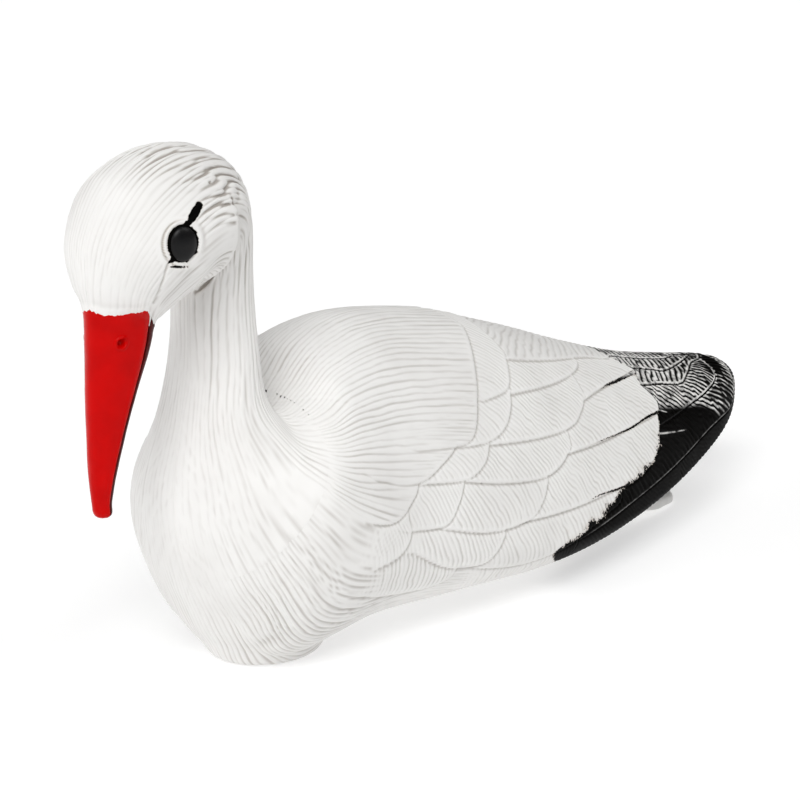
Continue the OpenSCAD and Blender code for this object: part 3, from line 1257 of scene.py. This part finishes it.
def turn_outward(piece: bpy.types.Object) -> None:
    """Turns a closed piece's faces over if its volume comes out negative.

    Args:
        piece: The piece.
    """
    mesh = piece.data
    mesh.calc_loop_triangles()
    tri = np.array([t.vertices[:] for t in mesh.loop_triangles])
    co = np.array([v.co[:] for v in mesh.vertices])
    a, b, c = co[tri[:, 0]], co[tri[:, 1]], co[tri[:, 2]]
    if np.einsum("ij,ij->i", a, np.cross(b, c)).sum() < 0:
        mesh.flip_normals()


def finish_piece(piece: bpy.types.Object, slot: str, *nodes: str) -> None:
    """Rides a piece on the body, hides the CAD nodes that it stands for, and logs its triangle count.

    Args:
        piece: The piece.
        slot: Not used.
        nodes: The CAD nodes that it stands for, if any.
    """
    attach(piece, BODY)
    if nodes:
        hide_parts(*nodes)
    piece.data.calc_loop_triangles()
    LOG.info("%s: %d triangles", piece.name, len(piece.data.loop_triangles))


# ---------------------------------------------------------------- the shells


@dataclass(frozen=True)
class Section:
    """A stretch of a shell between two stations.

    It has its number of rows, and one in every so many of the shell's columns. The last rows of a tucked
    section lie a little under the next one.
    """

    word: str
    start: float
    end: float
    rows: int
    every: int = 1
    tucked: bool = False


@dataclass
class Shell:
    """One half of the hollow body, from the wing tip to the bill, made as a few closed sections."""

    side: Side
    wall: float = 3.0
    columns: int = 385
    inner_step: int = 8
    tuck: float = 0.18
    boss_half_width: float = 27.0
    boss_half_length: float = 31.0
    boss_height: float = 16.0
    boss_lift: float = 0.3
    pocket_half_width: float = 20.0
    pocket_half_length: float = 13.0
    pocket_top: float = 54.0
    pocket_rim: float = 0.8
    widest_station: float = 4.6
    sections: tuple = (
        Section("rear", 0.0, 3.3, 249),
        Section("middle", 3.3, 6.35, 249),
        Section("breast", 6.35, 9.425, 252, tucked=True),
        Section("head", 9.4, 21.12, 401, every=2),
    )
    relief: Relief = field(init=False)
    angles: np.ndarray = field(init=False)

    def __post_init__(self) -> None:
        """Carves this side's relief and places its columns."""
        self.relief = Relief(FORM, self.side)
        self.angles = self.even_angles()

    def build(self, finish: bpy.types.Material) -> None:
        """Makes every section of this half."""
        for section in self.sections:
            self.build_section(section, finish)

    def even_angles(self) -> np.ndarray:
        """Angles that lie evenly around the middle of the body.

        Returns:
            One angle for each column.
        """
        angle = np.linspace(-90, 90, 721)
        ring = FORM.grid(np.array([self.widest_station]), angle)[0]
        length = np.concatenate([[0], np.cumsum(np.linalg.norm(np.diff(ring, axis=0), axis=1))])
        return np.interp(np.linspace(0, length[-1], self.columns), length, angle)

    def even_stations(self, section: Section) -> np.ndarray:
        """Stations of a section's rows, evenly spaced along the body.

        Args:
            section: The section.

        Returns:
            One station for each row.
        """
        u = np.linspace(section.start, section.end, 400)
        p = FORM.grid(u, np.array([-45.0, 0.0, 40.0]))
        step = np.linalg.norm(np.diff(p, axis=0), axis=-1).mean(1)
        length = np.concatenate([[0], np.cumsum(step)])
        return np.interp(np.linspace(0, length[-1], section.rows), length, u)

    def surface(self, u: np.ndarray, angle: np.ndarray) -> tuple:
        """The outer skin over a net of places.

        Args:
            u: Stations, with one spare at each end.
            angle: Angles, with one spare at each end.

        Returns:
            The points, their normals, and the skin's values, without the spare rows and columns.
        """
        skin = self.relief.skin(u, angle)
        points = FORM.grid(u, angle) + self.plain_normals(u, angle) * skin.height[..., None]
        points = self.flat_boss(points)
        normal = self.normals(points)
        core = (slice(1, -1), slice(1, -1))
        return points[core], normal[core], skin.black[core], skin.groove_shade[core], skin.wear_and_sheen[core]

    @staticmethod
    def plain_normals(u: np.ndarray, angle: np.ndarray) -> np.ndarray:
        """Outward normals of the plain form, the same for every section at its shared rings.

        Args:
            u: Stations of the net.
            angle: Angles of the net.

        Returns:
            A unit vector for each place.
        """
        across = FORM.grid(u, angle + 0.25) - FORM.grid(u, angle - 0.25)
        n = np.cross(across, FORM.grid(u + 0.004, angle) - FORM.grid(u - 0.004, angle))
        return n / np.maximum(np.linalg.norm(n, axis=-1, keepdims=True), 1e-12)

    @staticmethod
    def normals(p: np.ndarray) -> np.ndarray:
        """Outward normals of a net of points."""
        n = np.cross(np.gradient(p, axis=1), np.gradient(p, axis=0))
        return n / np.maximum(np.linalg.norm(n, axis=-1, keepdims=True), 1e-12)

    def flat_boss(self, p: np.ndarray) -> np.ndarray:
        """Flattens the belly where the boss is, and opens a pocket for the leg block.

        Args:
            p: Points of the skin.

        Returns:
            The points with the boss.
        """
        x, y, z = np.abs(p[..., 0]), p[..., 1], p[..., 2]
        inside = 1 - np.hypot(x / self.boss_half_width, y / self.boss_half_length)
        share = smoothstep(-0.34, 0.03, inside) ** 1.5 * (z < self.boss_height)
        low = z * (1 - share) + self.boss_lift * share
        gap = np.minimum(self.pocket_half_width - x, self.pocket_half_length - np.abs(y))
        low = np.where((gap > self.pocket_rim) & (z < self.boss_height), self.pocket_top, low)
        out = p.copy()
        out[..., 2] = low
        return out

    def build_section(self, section: Section, finish: bpy.types.Material) -> None:
        """Makes one closed section: the outer skin, a plain inner wall and the rims between them.

        Args:
            section: The section.
            finish: The shell's material.
        """
        u = self.even_stations(section)
        angle = self.angles[:: section.every]
        du, da = u[1] - u[0], angle[1] - angle[0]
        wide_u = np.concatenate([[u[0] - du], u, [u[-1] + du]])
        wide_angle = np.concatenate([[-90 - da], angle, [180 - angle[-2]]])
        outer, normal, black, groove_shade, wear_and_sheen = self.surface(wide_u, wide_angle)
        if section.tucked:
            outer[-2:] -= self.tuck * normal[-2:]
        inner = self.inner_wall(outer, u, angle)
        points = np.concatenate([outer.reshape(-1, 3), inner.reshape(-1, 3)])
        points[:, 0] *= self.side.value
        skin_count = outer.shape[0] * outer.shape[1]
        flip = self.side is Side.RIGHT
        faces = [
            grid_faces(*outer.shape[:2], flip=flip),
            grid_faces(*inner.shape[:2], skin_count, flip=not flip),
            self.rims(outer.shape[:2], inner.shape[:2], flip),
        ]
        piece = new_piece(f"{self.side.word}_shell_{section.word}", points, faces, finish)
        plain = np.zeros(len(points) - skin_count)
        for name, values in (("black", black), ("groove_shade", groove_shade), ("wear_and_sheen", wear_and_sheen)):
            paint_attribute(piece, name, np.concatenate([values.ravel(), plain]))
        self.set_normals(piece, normal.reshape(-1, 3))
        finish_piece(piece, "white_plastic", f"{self.side.word}_shell")

    def inner_wall(self, outer: np.ndarray, u: np.ndarray, angle: np.ndarray) -> np.ndarray:
        """The plain inside of a section, on every few rows and columns of its skin.

        Args:
            outer: Points of the skin.
            u: Its stations.
            angle: Its angles.

        Returns:
            The points of the inner wall.
        """
        ray = FORM.centres(u)[:, None] - outer
        reach = np.linalg.norm(ray, axis=-1, keepdims=True)
        inner = outer + ray * np.clip(self.wall / np.maximum(reach, 1e-9), 0, 0.98)
        inner[..., 0] = np.maximum(inner[..., 0], 0.0) * (np.abs(angle) < 89.99)[None, :]
        return inner[:: self.inner_step, :: self.inner_step]

    def set_normals(self, piece: bpy.types.Object, normal: np.ndarray) -> None:
        """Gives the outer skin its own normals, so that no join between sections shows.

        Args:
            piece: The section's object, whose first vertices are the skin.
            normal: The skin's normals on the left side of the bird.
        """
        mesh = piece.data
        values = np.zeros(3 * len(mesh.vertices), np.float32)
        mesh.vertex_normals.foreach_get("vector", values)
        values = values.reshape(-1, 3)
        values[: len(normal)] = normal * (self.side.value, 1, 1)
        mesh.normals_split_custom_set_from_vertices(values.tolist())

    def rims(self, skin_shape: tuple, wall_shape: tuple, flip: bool) -> np.ndarray:
        """Triangles that join the fine edge of the outer skin to the coarse edge of the inner wall.

        Args:
            skin_shape: Rows and columns of the skin.
            wall_shape: Rows and columns of the inner wall.
            flip: Whether the faces are turned over.

        Returns:
            The triangles.
        """
        skin_count = skin_shape[0] * skin_shape[1]
        fine = np.arange(skin_count).reshape(skin_shape)
        coarse = skin_count + np.arange(wall_shape[0] * wall_shape[1]).reshape(wall_shape)
        sides = (
            (fine[0, :], coarse[0, :], False),
            (fine[-1, :], coarse[-1, :], True),
            (fine[:, 0], coarse[:, 0], True),
            (fine[:, -1], coarse[:, -1], False),
        )
        made = []
        for outer, inner, turned_over in sides:
            tris = []
            for k in range(len(inner) - 1):
                run = outer[k * self.inner_step : (k + 1) * self.inner_step + 1]
                tris += [(inner[k], run[i + 1], run[i]) for i in range(self.inner_step)]
                tris.append((inner[k], inner[k + 1], run[-1]))
            block = np.array(tris)
            made.append(block[:, ::-1] if turned_over != flip else block)
        return np.concatenate(made)


# ---------------------------------------------------------------- the bill


class BillHalf(Enum):
    """The two halves of the closed bill."""

    UPPER = (0.0, 180.0, 0.0, "red_paint")
    # The lower half takes the bill's red in painted shade
    LOWER = (-180.0, 0.0, 0.035, "dark_red_paint")


@dataclass
class Bill:
    """The long bill: an upper and a lower half with a thin gap between them."""

    half: BillHalf
    rows: int = 440
    arc_points: int = 97
    flat_points: int = 16
    proud: float = 0.4
    ragged: float = 0.03
    waviness: float = 0.08
    nostril_station: float = 21.76
    nostril_angle: float = 37.0
    nostril_rim: float = 2.9

    def build(self, finish: bpy.types.Material) -> None:
        """Makes this half of the bill.

        Args:
            finish: Its paint.
        """
        low, high, gap, slot = self.half.value
        noise = Noise(83 if self.half is BillHalf.UPPER else 84)
        angle = np.linspace(low, high, self.arc_points)
        turn = np.radians(angle)
        folded = np.degrees(np.arcsin(np.sin(turn)))
        edge = np.interp(folded, *zip(*PAINT_EDGE))
        edge = edge + self.ragged * noise.at(angle / 4.0, np.zeros(angle.shape))
        edge = edge + self.ragged * 0.7 * noise.at(angle / 1.6 + 40, np.ones(angle.shape))
        t = np.linspace(0, 1, self.rows)
        u = edge[None, :] + (FORM.last - edge[None, :]) * t[:, None]
        points = self.arc(u, turn, gap)
        height = self.proud * window(t, (0.0, 0.012), (0.9, 1.0))[:, None]
        waves = noise.at(u * 5, angle[None, :] / 22) * smoothstep(1.0, 0.7, t)[:, None]
        height = height + self.waviness * waves
        if self.half is BillHalf.UPPER:
            lip = bell(folded - 7, 5.0) * (0.45 - 0.35 * t[:, None])
            height = height + self.nostrils(points, u) + lip
        points = points + Shell.normals(points) * height[..., None] * self.outward(points)
        flat = np.linspace(0, 1, self.flat_points + 2)[1:-1]
        across = points[:, -1:, :] * (1 - flat)[None, :, None] + points[:, :1, :] * flat[None, :, None]
        ring = np.concatenate([points, across], axis=1)
        vertices, faces = closed_tube(ring, ring[0].mean(0), ring[-1].mean(0))
        name = f"{self.half.name.lower()}_bill"
        piece = new_piece(f"{name}_painted", vertices, faces, finish)
        turn_outward(piece)
        finish_piece(piece, slot, name)

    def arc(self, u: np.ndarray, turn: np.ndarray, gap: float) -> np.ndarray:
        """Points of the bill's outside.

        Args:
            u: Station of each point, one row for each place along the bill.
            turn: Angle of each column in radians.
            gap: How far the widest line is moved down, as a share of the ring's height.

        Returns:
            The points.
        """
        back, belly, half_width, share = FORM.rings(u)
        edge = back + (share + gap) * (belly - back)
        reach = (back if self.half is BillHalf.UPPER else belly) - edge
        points = edge + reach * np.abs(np.sin(turn))[None, :, None]
        points[..., 0] += half_width[..., 0] * np.cos(turn)[None, :]
        return points

    def nostrils(self, points: np.ndarray, u: np.ndarray) -> np.ndarray:
        """The two small nostrils, each a pit inside a low ring.

        Args:
            points: Points of the bill's outside.
            u: Their stations.

        Returns:
            The height that they add.
        """
        out = np.zeros(u.shape)
        for place in (self.nostril_angle, 180 - self.nostril_angle):
            centre = self.arc(np.full((1, 1), self.nostril_station), np.radians(np.array([place])), 0)[0, 0]
            r = np.linalg.norm(points - centre, axis=-1)
            out += 0.7 * bell(r - self.nostril_rim, 0.7) - 2.6 * smoothstep(2.5, 0.9, r)
        return out

    @staticmethod
    def outward(points: np.ndarray) -> float:
        """1 if the net's normals point away from its middle, and -1 if not."""
        n = Shell.normals(points)
        return 1.0 if ((points - points.mean(1, keepdims=True)) * n).sum() > 0 else -1.0


# ---------------------------------------------------------------- the eyes


@dataclass
class Eye:
    """A glossy domed eye, slightly taller than wide, set in the eyelids."""

    side: Side
    half_width: float = 7.2
    half_height: float = 8.8
    height: float = 2.9
    sunk: float = 1.0
    shift: float = 0.4
    depth: float = 2.0
    rings: int = 28
    segments: int = 96

    def build(self, finish: bpy.types.Material) -> None:
        """Makes the dome and its flat back.

        Args:
            finish: The eye's material.
        """
        out = FORM.normal(EYE_STATION, EYE_ANGLE)
        ahead = np.array([out[1], -out[0], 0.0])
        ahead /= np.linalg.norm(ahead)
        up = np.cross(ahead, out)
        centre = FORM.place(EYE_STATION, EYE_ANGLE) - self.shift * (ahead + up) - self.sunk * out
        turn = np.linspace(0, 2 * np.pi, self.segments, endpoint=False)
        share = np.sin(np.linspace(0, 1, self.rings)[1:] * np.pi / 2)
        rise = self.height * np.sqrt(np.clip(1 - share**2, 0, 1)) ** 1.15
        r = np.concatenate([share, [1.0, 0.9]])[:, None, None]
        z = np.concatenate([rise, [-0.5 * self.depth, -self.depth]])[:, None, None]
        across = self.half_width * np.cos(turn)[None, :, None] * ahead
        tall = self.half_height * np.sin(turn)[None, :, None] * up
        ring = centre + r * across + r * tall + z * out
        points, faces = closed_tube(ring, centre + self.height * out, centre - self.depth * out)
        points[:, 0] *= self.side.value
        piece = new_piece(f"{self.side.word}_eye_dome", points, faces, finish)
        turn_outward(piece)
        finish_piece(piece, "black_gloss", f"{self.side.word}_eye")


# ---------------------------------------------------------------- the tail


@dataclass
class TailFeather:
    """The closed blade that the tail's fan repeats, lying along +Y with its root at the origin."""

    length: float = 97.0
    half_width: float = 15.5
    thickness: float = 2.0
    arch: float = 2.0
    barb_pitch: float = 2.9
    barb_depth: float = 0.22
    rows: int = 88
    columns: int = 25

    def mesh_object(self, finish: bpy.types.Material) -> bpy.types.Object:
        """Makes the blade.

        Args:
            finish: The feathers' material.

        Returns:
            The blade's object.
        """
        t = np.linspace(0, 1, self.rows)
        s = np.linspace(-1, 1, self.columns)
        tip = np.sqrt(np.clip(1 - np.clip((t - 0.86) / 0.14, 0, 1) ** 2.2, 0.0004, 1))
        width = self.half_width * (0.55 + 0.45 * smoothstep(0, 0.5, t)) * tip
        x = width[:, None] * s[None, :]
        y = np.broadcast_to(self.length * t[:, None], x.shape)
        barbs = self.barb_depth * np.abs(np.sin(np.pi * (y / self.barb_pitch + np.abs(x) * 0.55)))
        shaft = 0.5 * bell(x, 0.9) * smoothstep(1.0, 0.8, t)[:, None]
        edge = (1 - s**2)[None, :] ** 0.5
        arch = self.arch * (1 - (x / self.half_width) ** 2)
        top = arch - barbs * edge + shaft
        bottom = arch - self.thickness * (0.2 + 0.8 * edge)
        upper = np.stack([x, y, top], -1)
        lower = np.stack([x, y, bottom], -1)[:, ::-1]
        ring = np.concatenate([upper, lower], axis=1)
        points, faces = closed_tube(ring, ring[0].mean(0), ring[-1].mean(0))
        piece = new_piece("tail_feathers", points, faces, finish)
        turn_outward(piece)
        return piece


class GeometryTree(Graph):
    """A geometry node tree with named inputs, run on one object and applied."""

    def __init__(self, name: str, inputs: dict) -> None:
        """Opens the tree.

        Args:
            name: The tree's name.
            inputs: Socket type and value of each input, by name.
        """
        super().__init__(bpy.data.node_groups.new(name, "GeometryNodeTree"))
        self.inputs = inputs
        self.tree.interface.new_socket("Geometry", in_out="INPUT", socket_type="NodeSocketGeometry")
        self.tree.interface.new_socket("Geometry", in_out="OUTPUT", socket_type="NodeSocketGeometry")
        for key, (kind, _) in inputs.items():
            self.tree.interface.new_socket(key, in_out="INPUT", socket_type=kind)
        self.entry = self.tree.nodes.new("NodeGroupInput")

    def given(self, name: str) -> Value:
        """One of the tree's own inputs."""
        return Value(self, self.entry.outputs[name])

    def end(self, geometry: Value, finish: bpy.types.Material) -> None:
        """Ends the tree with plain geometry in the given material.

        Args:
            geometry: What the tree has made.
            finish: The material.
        """
        plain = self.node("GeometryNodeRealizeInstances", {}, {"Geometry": geometry})
        dressed = self.node("GeometryNodeSetMaterial", {}, {"Geometry": plain, "Material": finish})
        self.node("NodeGroupOutput", {}, {"Geometry": dressed})

    def apply(self, host: bpy.types.Object) -> None:
        """Runs the tree on an object and keeps the result as its plain mesh.

        Args:
            host: The object.
        """
        modifier = host.modifiers.new(self.tree.name, "NODES")
        modifier.node_group = self.tree
        for item in self.tree.interface.items_tree:
            if item.item_type == "SOCKET" and item.in_out == "INPUT" and item.name in self.inputs:
                modifier[item.identifier] = self.inputs[item.name][1]
        depsgraph = bpy.context.evaluated_depsgraph_get()
        mesh = bpy.data.meshes.new_from_object(host.evaluated_get(depsgraph), depsgraph=depsgraph)
        host.modifiers.remove(modifier)
        host.data = mesh


@dataclass(frozen=True)
class Fan:
    """One fan of the tail: where it turns about and how its feathers lie. Lengths are in metres."""

    name: str
    height: float
    slope: float
    spread: float
    lift: float
    arched_up: bool
    feathers: int = 5
    pivot_y: float = 0.226
    reach: float = 0.052
    shorten: float = 0.13


@dataclass
class Tail:
    """The folded tail under the wing tips: a plain wedge with a fan of feathers above and below.

    The wedge's height and width are given by profiles, each as places along the bird and values there.
    """

    start: float = 279.0
    end: float = 383.0
    tip_radius: float = 28.0
    tip_margin: float = 0.5
    squareness: float = 0.6
    widest_share: float = 0.18
    rows: int = 61
    columns: int = 64
    top: tuple = ((279, 310, 345, 380), (32.0, 31.5, 14.5, 5.5))
    bottom: tuple = ((279, 308, 340, 376), (15.5, 6.5, 1.2, 0.3))
    half_width: tuple = ((279, 308, 345, 355), (32.0, 32.0, 33.0, 31.0))
    fans: tuple = (
        Fan("tail_feathers_upper", 0.0385, -0.208, 0.27, 0.0014, True),
        Fan("tail_feathers_lower", 0.0125, -0.062, 0.17, 0.0009, False),
    )

    def build(self, finish: bpy.types.Material) -> None:
        """Makes the wedge and both fans.

        Args:
            finish: The tail's material.
        """
        self.build_wedge(finish)
        for fan in self.fans:
            self.build_fan(fan, finish)

    def build_wedge(self, finish: bpy.types.Material) -> None:
        """Makes the wedge that carries the fans.

        Args:
            finish: The tail's material.
        """
        y = self.start + (self.end - 5 - self.start) * np.sin(np.linspace(0, 1, self.rows) * np.pi / 2)
        top, bottom = np.interp(y, *self.top), np.interp(y, *self.bottom)
        past = np.clip(y - (self.end - self.tip_radius), 0, None) / (self.tip_radius + self.tip_margin)
        width = np.interp(y, *self.half_width) * np.sqrt(np.clip(1 - past**2, 0.002, 1))
        turn = np.linspace(0, 2 * np.pi, self.columns, endpoint=False)
        cx = np.sign(np.cos(turn)) * np.abs(np.cos(turn)) ** self.squareness
        cz = np.sign(np.sin(turn)) * np.abs(np.sin(turn)) ** self.squareness
        middle = bottom + self.widest_share * (top - bottom)
        rise = np.where(cz[None, :] > 0, (top - middle)[:, None], (middle - bottom)[:, None])
        x = width[:, None] * cx[None, :]
        z = middle[:, None] + rise * cz[None, :]
        ring = np.stack([x, np.broadcast_to(y[:, None], x.shape), z], -1)
        points, faces = closed_tube(ring, ring[0].mean(0), ring[-1].mean(0))
        piece = new_piece("tail_wedge", points, faces, finish)
        turn_outward(piece)
        finish_piece(piece, "tail_plastic", "tail_fan")

    @staticmethod
    def build_fan(fan: Fan, finish: bpy.types.Material) -> None:
        """Repeats the blade in a fan about a point in front of the tail.

        Args:
            fan: The fan.
            finish: The feathers' material.
        """
        host = TailFeather().mesh_object(finish)
        host.name = fan.name
        tree = GeometryTree(
            fan.name,
            {
                "Feathers": ("NodeSocketInt", fan.feathers),
                "Spread": ("NodeSocketFloat", fan.spread),
                "Slope": ("NodeSocketFloat", fan.slope),
                "Lift": ("NodeSocketFloat", fan.lift),
                "Reach": ("NodeSocketFloat", fan.reach),
                "Shorten": ("NodeSocketFloat", fan.shorten),
            },
        )
        line = tree.node("GeometryNodeMeshLine", {}, {"Count": tree.given("Feathers"), "Offset": (0, 0, 0)})
        place = tree.node("GeometryNodeInputIndex") / (tree.given("Feathers") - 1.0) - 0.5
        out = place.math("ABSOLUTE", place)
        drop = out * tree.given("Lift") * (-2.0 * (fan.feathers // 2))
        moved = tree.node("ShaderNodeCombineXYZ", {}, {"X": 0.0, "Y": tree.given("Reach"), "Z": drop})
        face = (1.0, 1.0, 1.0 if fan.arched_up else -1.0)
        blade = tree.node("GeometryNodeTransform", {}, {"Geometry": tree.given("Geometry"), "Scale": face})
        turn = place * tree.given("Spread")
        rotation = tree.node("ShaderNodeCombineXYZ", {}, {"X": tree.given("Slope"), "Y": 0.0, "Z": turn})
        long = 1.0 - out * tree.given("Shorten") * 2.0
        scale = tree.node("ShaderNodeCombineXYZ", {}, {"X": 1.0, "Y": long, "Z": 1.0})
        blades = {"Points": line, "Instance": blade, "Rotation": rotation, "Scale": scale}
        instances = tree.node("GeometryNodeInstanceOnPoints", {}, blades)
        shift = {"Instances": instances, "Translation": moved, "Local Space": True}
        spaced = tree.node("GeometryNodeTranslateInstances", {}, shift)
        plain = tree.node("GeometryNodeRealizeInstances", {}, {"Geometry": spaced})
        pivot = Vector((0, fan.pivot_y, fan.height))
        placed = tree.node("GeometryNodeTransform", {}, {"Geometry": plain, "Translation": pivot})
        tree.end(placed, finish)
        tree.apply(host)
        if not fan.arched_up:
            host.data.flip_normals()
        finish_piece(host, "tail_plastic")


# ---------------------------------------------------------------- the seam


@dataclass
class Seam:
    """The fine bead of the mould's parting line along the centre plane."""

    radius: float = 0.36
    sunk: float = 0.14
    lines: tuple = (
        ("seam_back", 90.0, 9.0, 20.9),
        ("seam_breast", -90.0, 7.9, 20.9),
        ("seam_belly", -90.0, 0.3, 6.2),
    )

    def build(self, finish: bpy.types.Material) -> None:
        """Makes each line of the bead.

        Args:
            finish: The bead's material.
        """
        for name, angle, start, end in self.lines:
            u = np.linspace(start, end, 200)
            line = FORM.grid(u, np.array([angle]))[:, 0]
            inward = FORM.centres(u) - line
            line = line + inward / np.linalg.norm(inward, axis=1, keepdims=True) * self.sunk
            mesh = bpy.data.meshes.new(name)
            mesh.from_pydata((line * MM).tolist(), [(i, i + 1) for i in range(len(line) - 1)], [])
            host = bpy.data.objects.new(name, mesh)
            bpy.context.scene.collection.objects.link(host)
            tree = GeometryTree(name, {"Radius": ("NodeSocketFloat", self.radius * MM)})
            curve = tree.node("GeometryNodeMeshToCurve", {}, {"Mesh": tree.given("Geometry")})
            circle = {"Resolution": 8, "Radius": tree.given("Radius")}
            ring = tree.node("GeometryNodeCurvePrimitiveCircle", {}, circle)
            swept = {"Curve": curve, "Profile Curve": ring, "Fill Caps": True}
            bead = tree.node("GeometryNodeCurveToMesh", {}, swept)
            tree.end(bead, finish)
            tree.apply(host)
            turn_outward(host)
            finish_piece(host, "white_plastic")


# ---------------------------------------------------------------- the studio


@dataclass(frozen=True)
class Sun:
    """A soft distant light, by its direction in degrees and its strength."""

    name: str
    azimuth: float
    elevation: float
    energy: float
    spread: float = 35.0


@dataclass
class Studio:
    """A plain pale floor, soft light and the camera."""

    target: tuple = (0.0, 0.120, 0.1157)
    azimuth: float = 38.0
    elevation: float = 15.0
    distance: float = 1.7
    lens: float = 133.9
    floor_gap: float = 0.4
    ambient: float = 0.06
    suns: tuple = (
        Sun("key_light", 28, 44, 2.1),
        Sun("right_light", 112, 50, 0.85),
        Sun("back_light", 210, 60, 0.4),
        Sun("left_light", -55, 20, 0.35),
        Sun("low_light", -10, 15, 0.3),
    )

    def back(self) -> Vector:
        """Direction from the bird to the camera."""
        return self.toward(self.azimuth, self.elevation)

    def build(self) -> None:
        """Sets the camera, the floor and the lights."""
        self.camera()
        self.floor()
        for sun in self.suns:
            way = self.toward(sun.azimuth, sun.elevation)
            self.light(sun.name, "SUN", way, 3.0, sun.energy).angle = math.radians(sun.spread)
        self.strip("strip_light", -62, 12, (0.25, 1.4), 4.0)
        world = bpy.data.worlds.new("studio")
        bpy.context.scene.world = world
        world.use_nodes = True
        world.node_tree.nodes["Background"].inputs["Color"].default_value = (1, 1, 1, 1)
        world.node_tree.nodes["Background"].inputs["Strength"].default_value = self.ambient
        bpy.context.scene.view_settings.view_transform = "Standard"

    def camera(self) -> None:
        """Makes the camera, looking at the target."""
        data = bpy.data.cameras.new("camera")
        data.lens = self.lens
        data.sensor_width = 36.0
        data.clip_end = 50.0
        camera = bpy.data.objects.new("camera", data)
        camera.location = Vector(self.target) + self.back() * self.distance
        camera.rotation_mode = "QUATERNION"
        camera.rotation_quaternion = (-self.back()).to_track_quat("-Z", "Y")
        bpy.context.scene.collection.objects.link(camera)
        bpy.context.scene.camera = camera

    def floor(self) -> None:
        """Makes the pale floor."""
        reach = 60.0
        corners = np.array([(-reach, -reach, 0), (reach, -reach, 0), (reach, reach, 0), (-reach, reach, 0)])
        points = corners / MM - (0, 0, self.floor_gap)
        floor = new_piece("floor", points, [np.array([[0, 1, 2, 3]])], PALE_FLOOR.material())

    @staticmethod
    def toward(azimuth: float, elevation: float) -> Vector:
        """Direction to a place round the bird, in degrees."""
        a, e = math.radians(azimuth), math.radians(elevation)
        return Vector((math.sin(a) * math.cos(e), -math.cos(a) * math.cos(e), math.sin(e)))

    def light(self, name: str, kind: str, way: Vector, distance: float, energy: float) -> bpy.types.Light:
        """Makes a light that faces the bird.

        Args:
            name: The light's name.
            kind: Its type.
            way: Direction from the bird to the light.
            distance: Its distance in metres.
            energy: Its strength.

        Returns:
            The light's own data.
        """
        data = bpy.data.lights.new(name, kind)
        data.energy = energy
        light = bpy.data.objects.new(name, data)
        light.location = Vector(self.target) + way * distance
        light.rotation_mode = "QUATERNION"
        light.rotation_quaternion = (-way).to_track_quat("-Z", "Y")
        bpy.context.scene.collection.objects.link(light)
        return data

    def strip(self, name: str, azimuth: float, elevation: float, size: tuple, energy: float) -> None:
        """Makes a tall narrow soft box that draws a bright line on glossy paint.

        Args:
            name: The light's name.
            azimuth: Its direction round the bird, in degrees.
            elevation: Its direction up, in degrees.
            size: Its width and height in metres.
            energy: Its strength in watts.
        """
        data = self.light(name, "AREA", self.toward(azimuth, elevation), 1.6, energy)
        data.shape = "RECTANGLE"
        data.size, data.size_y = size


def dress_leg_block(frame: dict) -> None:
    """Gives the carried-over leg block its finish.

    Args:
        frame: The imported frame.
    """
    node = frame["nodes"]["leg_block"]
    node.data.materials.clear()
    node.data.materials.append(BLOCK_PLASTIC.material())
    LOG.info("leg_block: carried over")


def main() -> None:
    """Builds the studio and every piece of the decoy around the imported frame."""
    logging.basicConfig(level=logging.INFO, format="%(name)s: %(message)s")
    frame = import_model()
    Studio().build()
    white = WHITE_PLASTIC.material()
    for side in Side:
        Shell(side).build(white)
    Bill(BillHalf.UPPER).build(RED_PAINT.material())
    Bill(BillHalf.LOWER).build(SHADED_RED_PAINT.material())
    eye = BLACK_GLOSS.material()
    for side in Side:
        Eye(side).build(eye)
    Tail().build(TAIL_PLASTIC.material())
    Seam().build(white)
    dress_leg_block(frame)


if __name__ == "__main__":
    main()
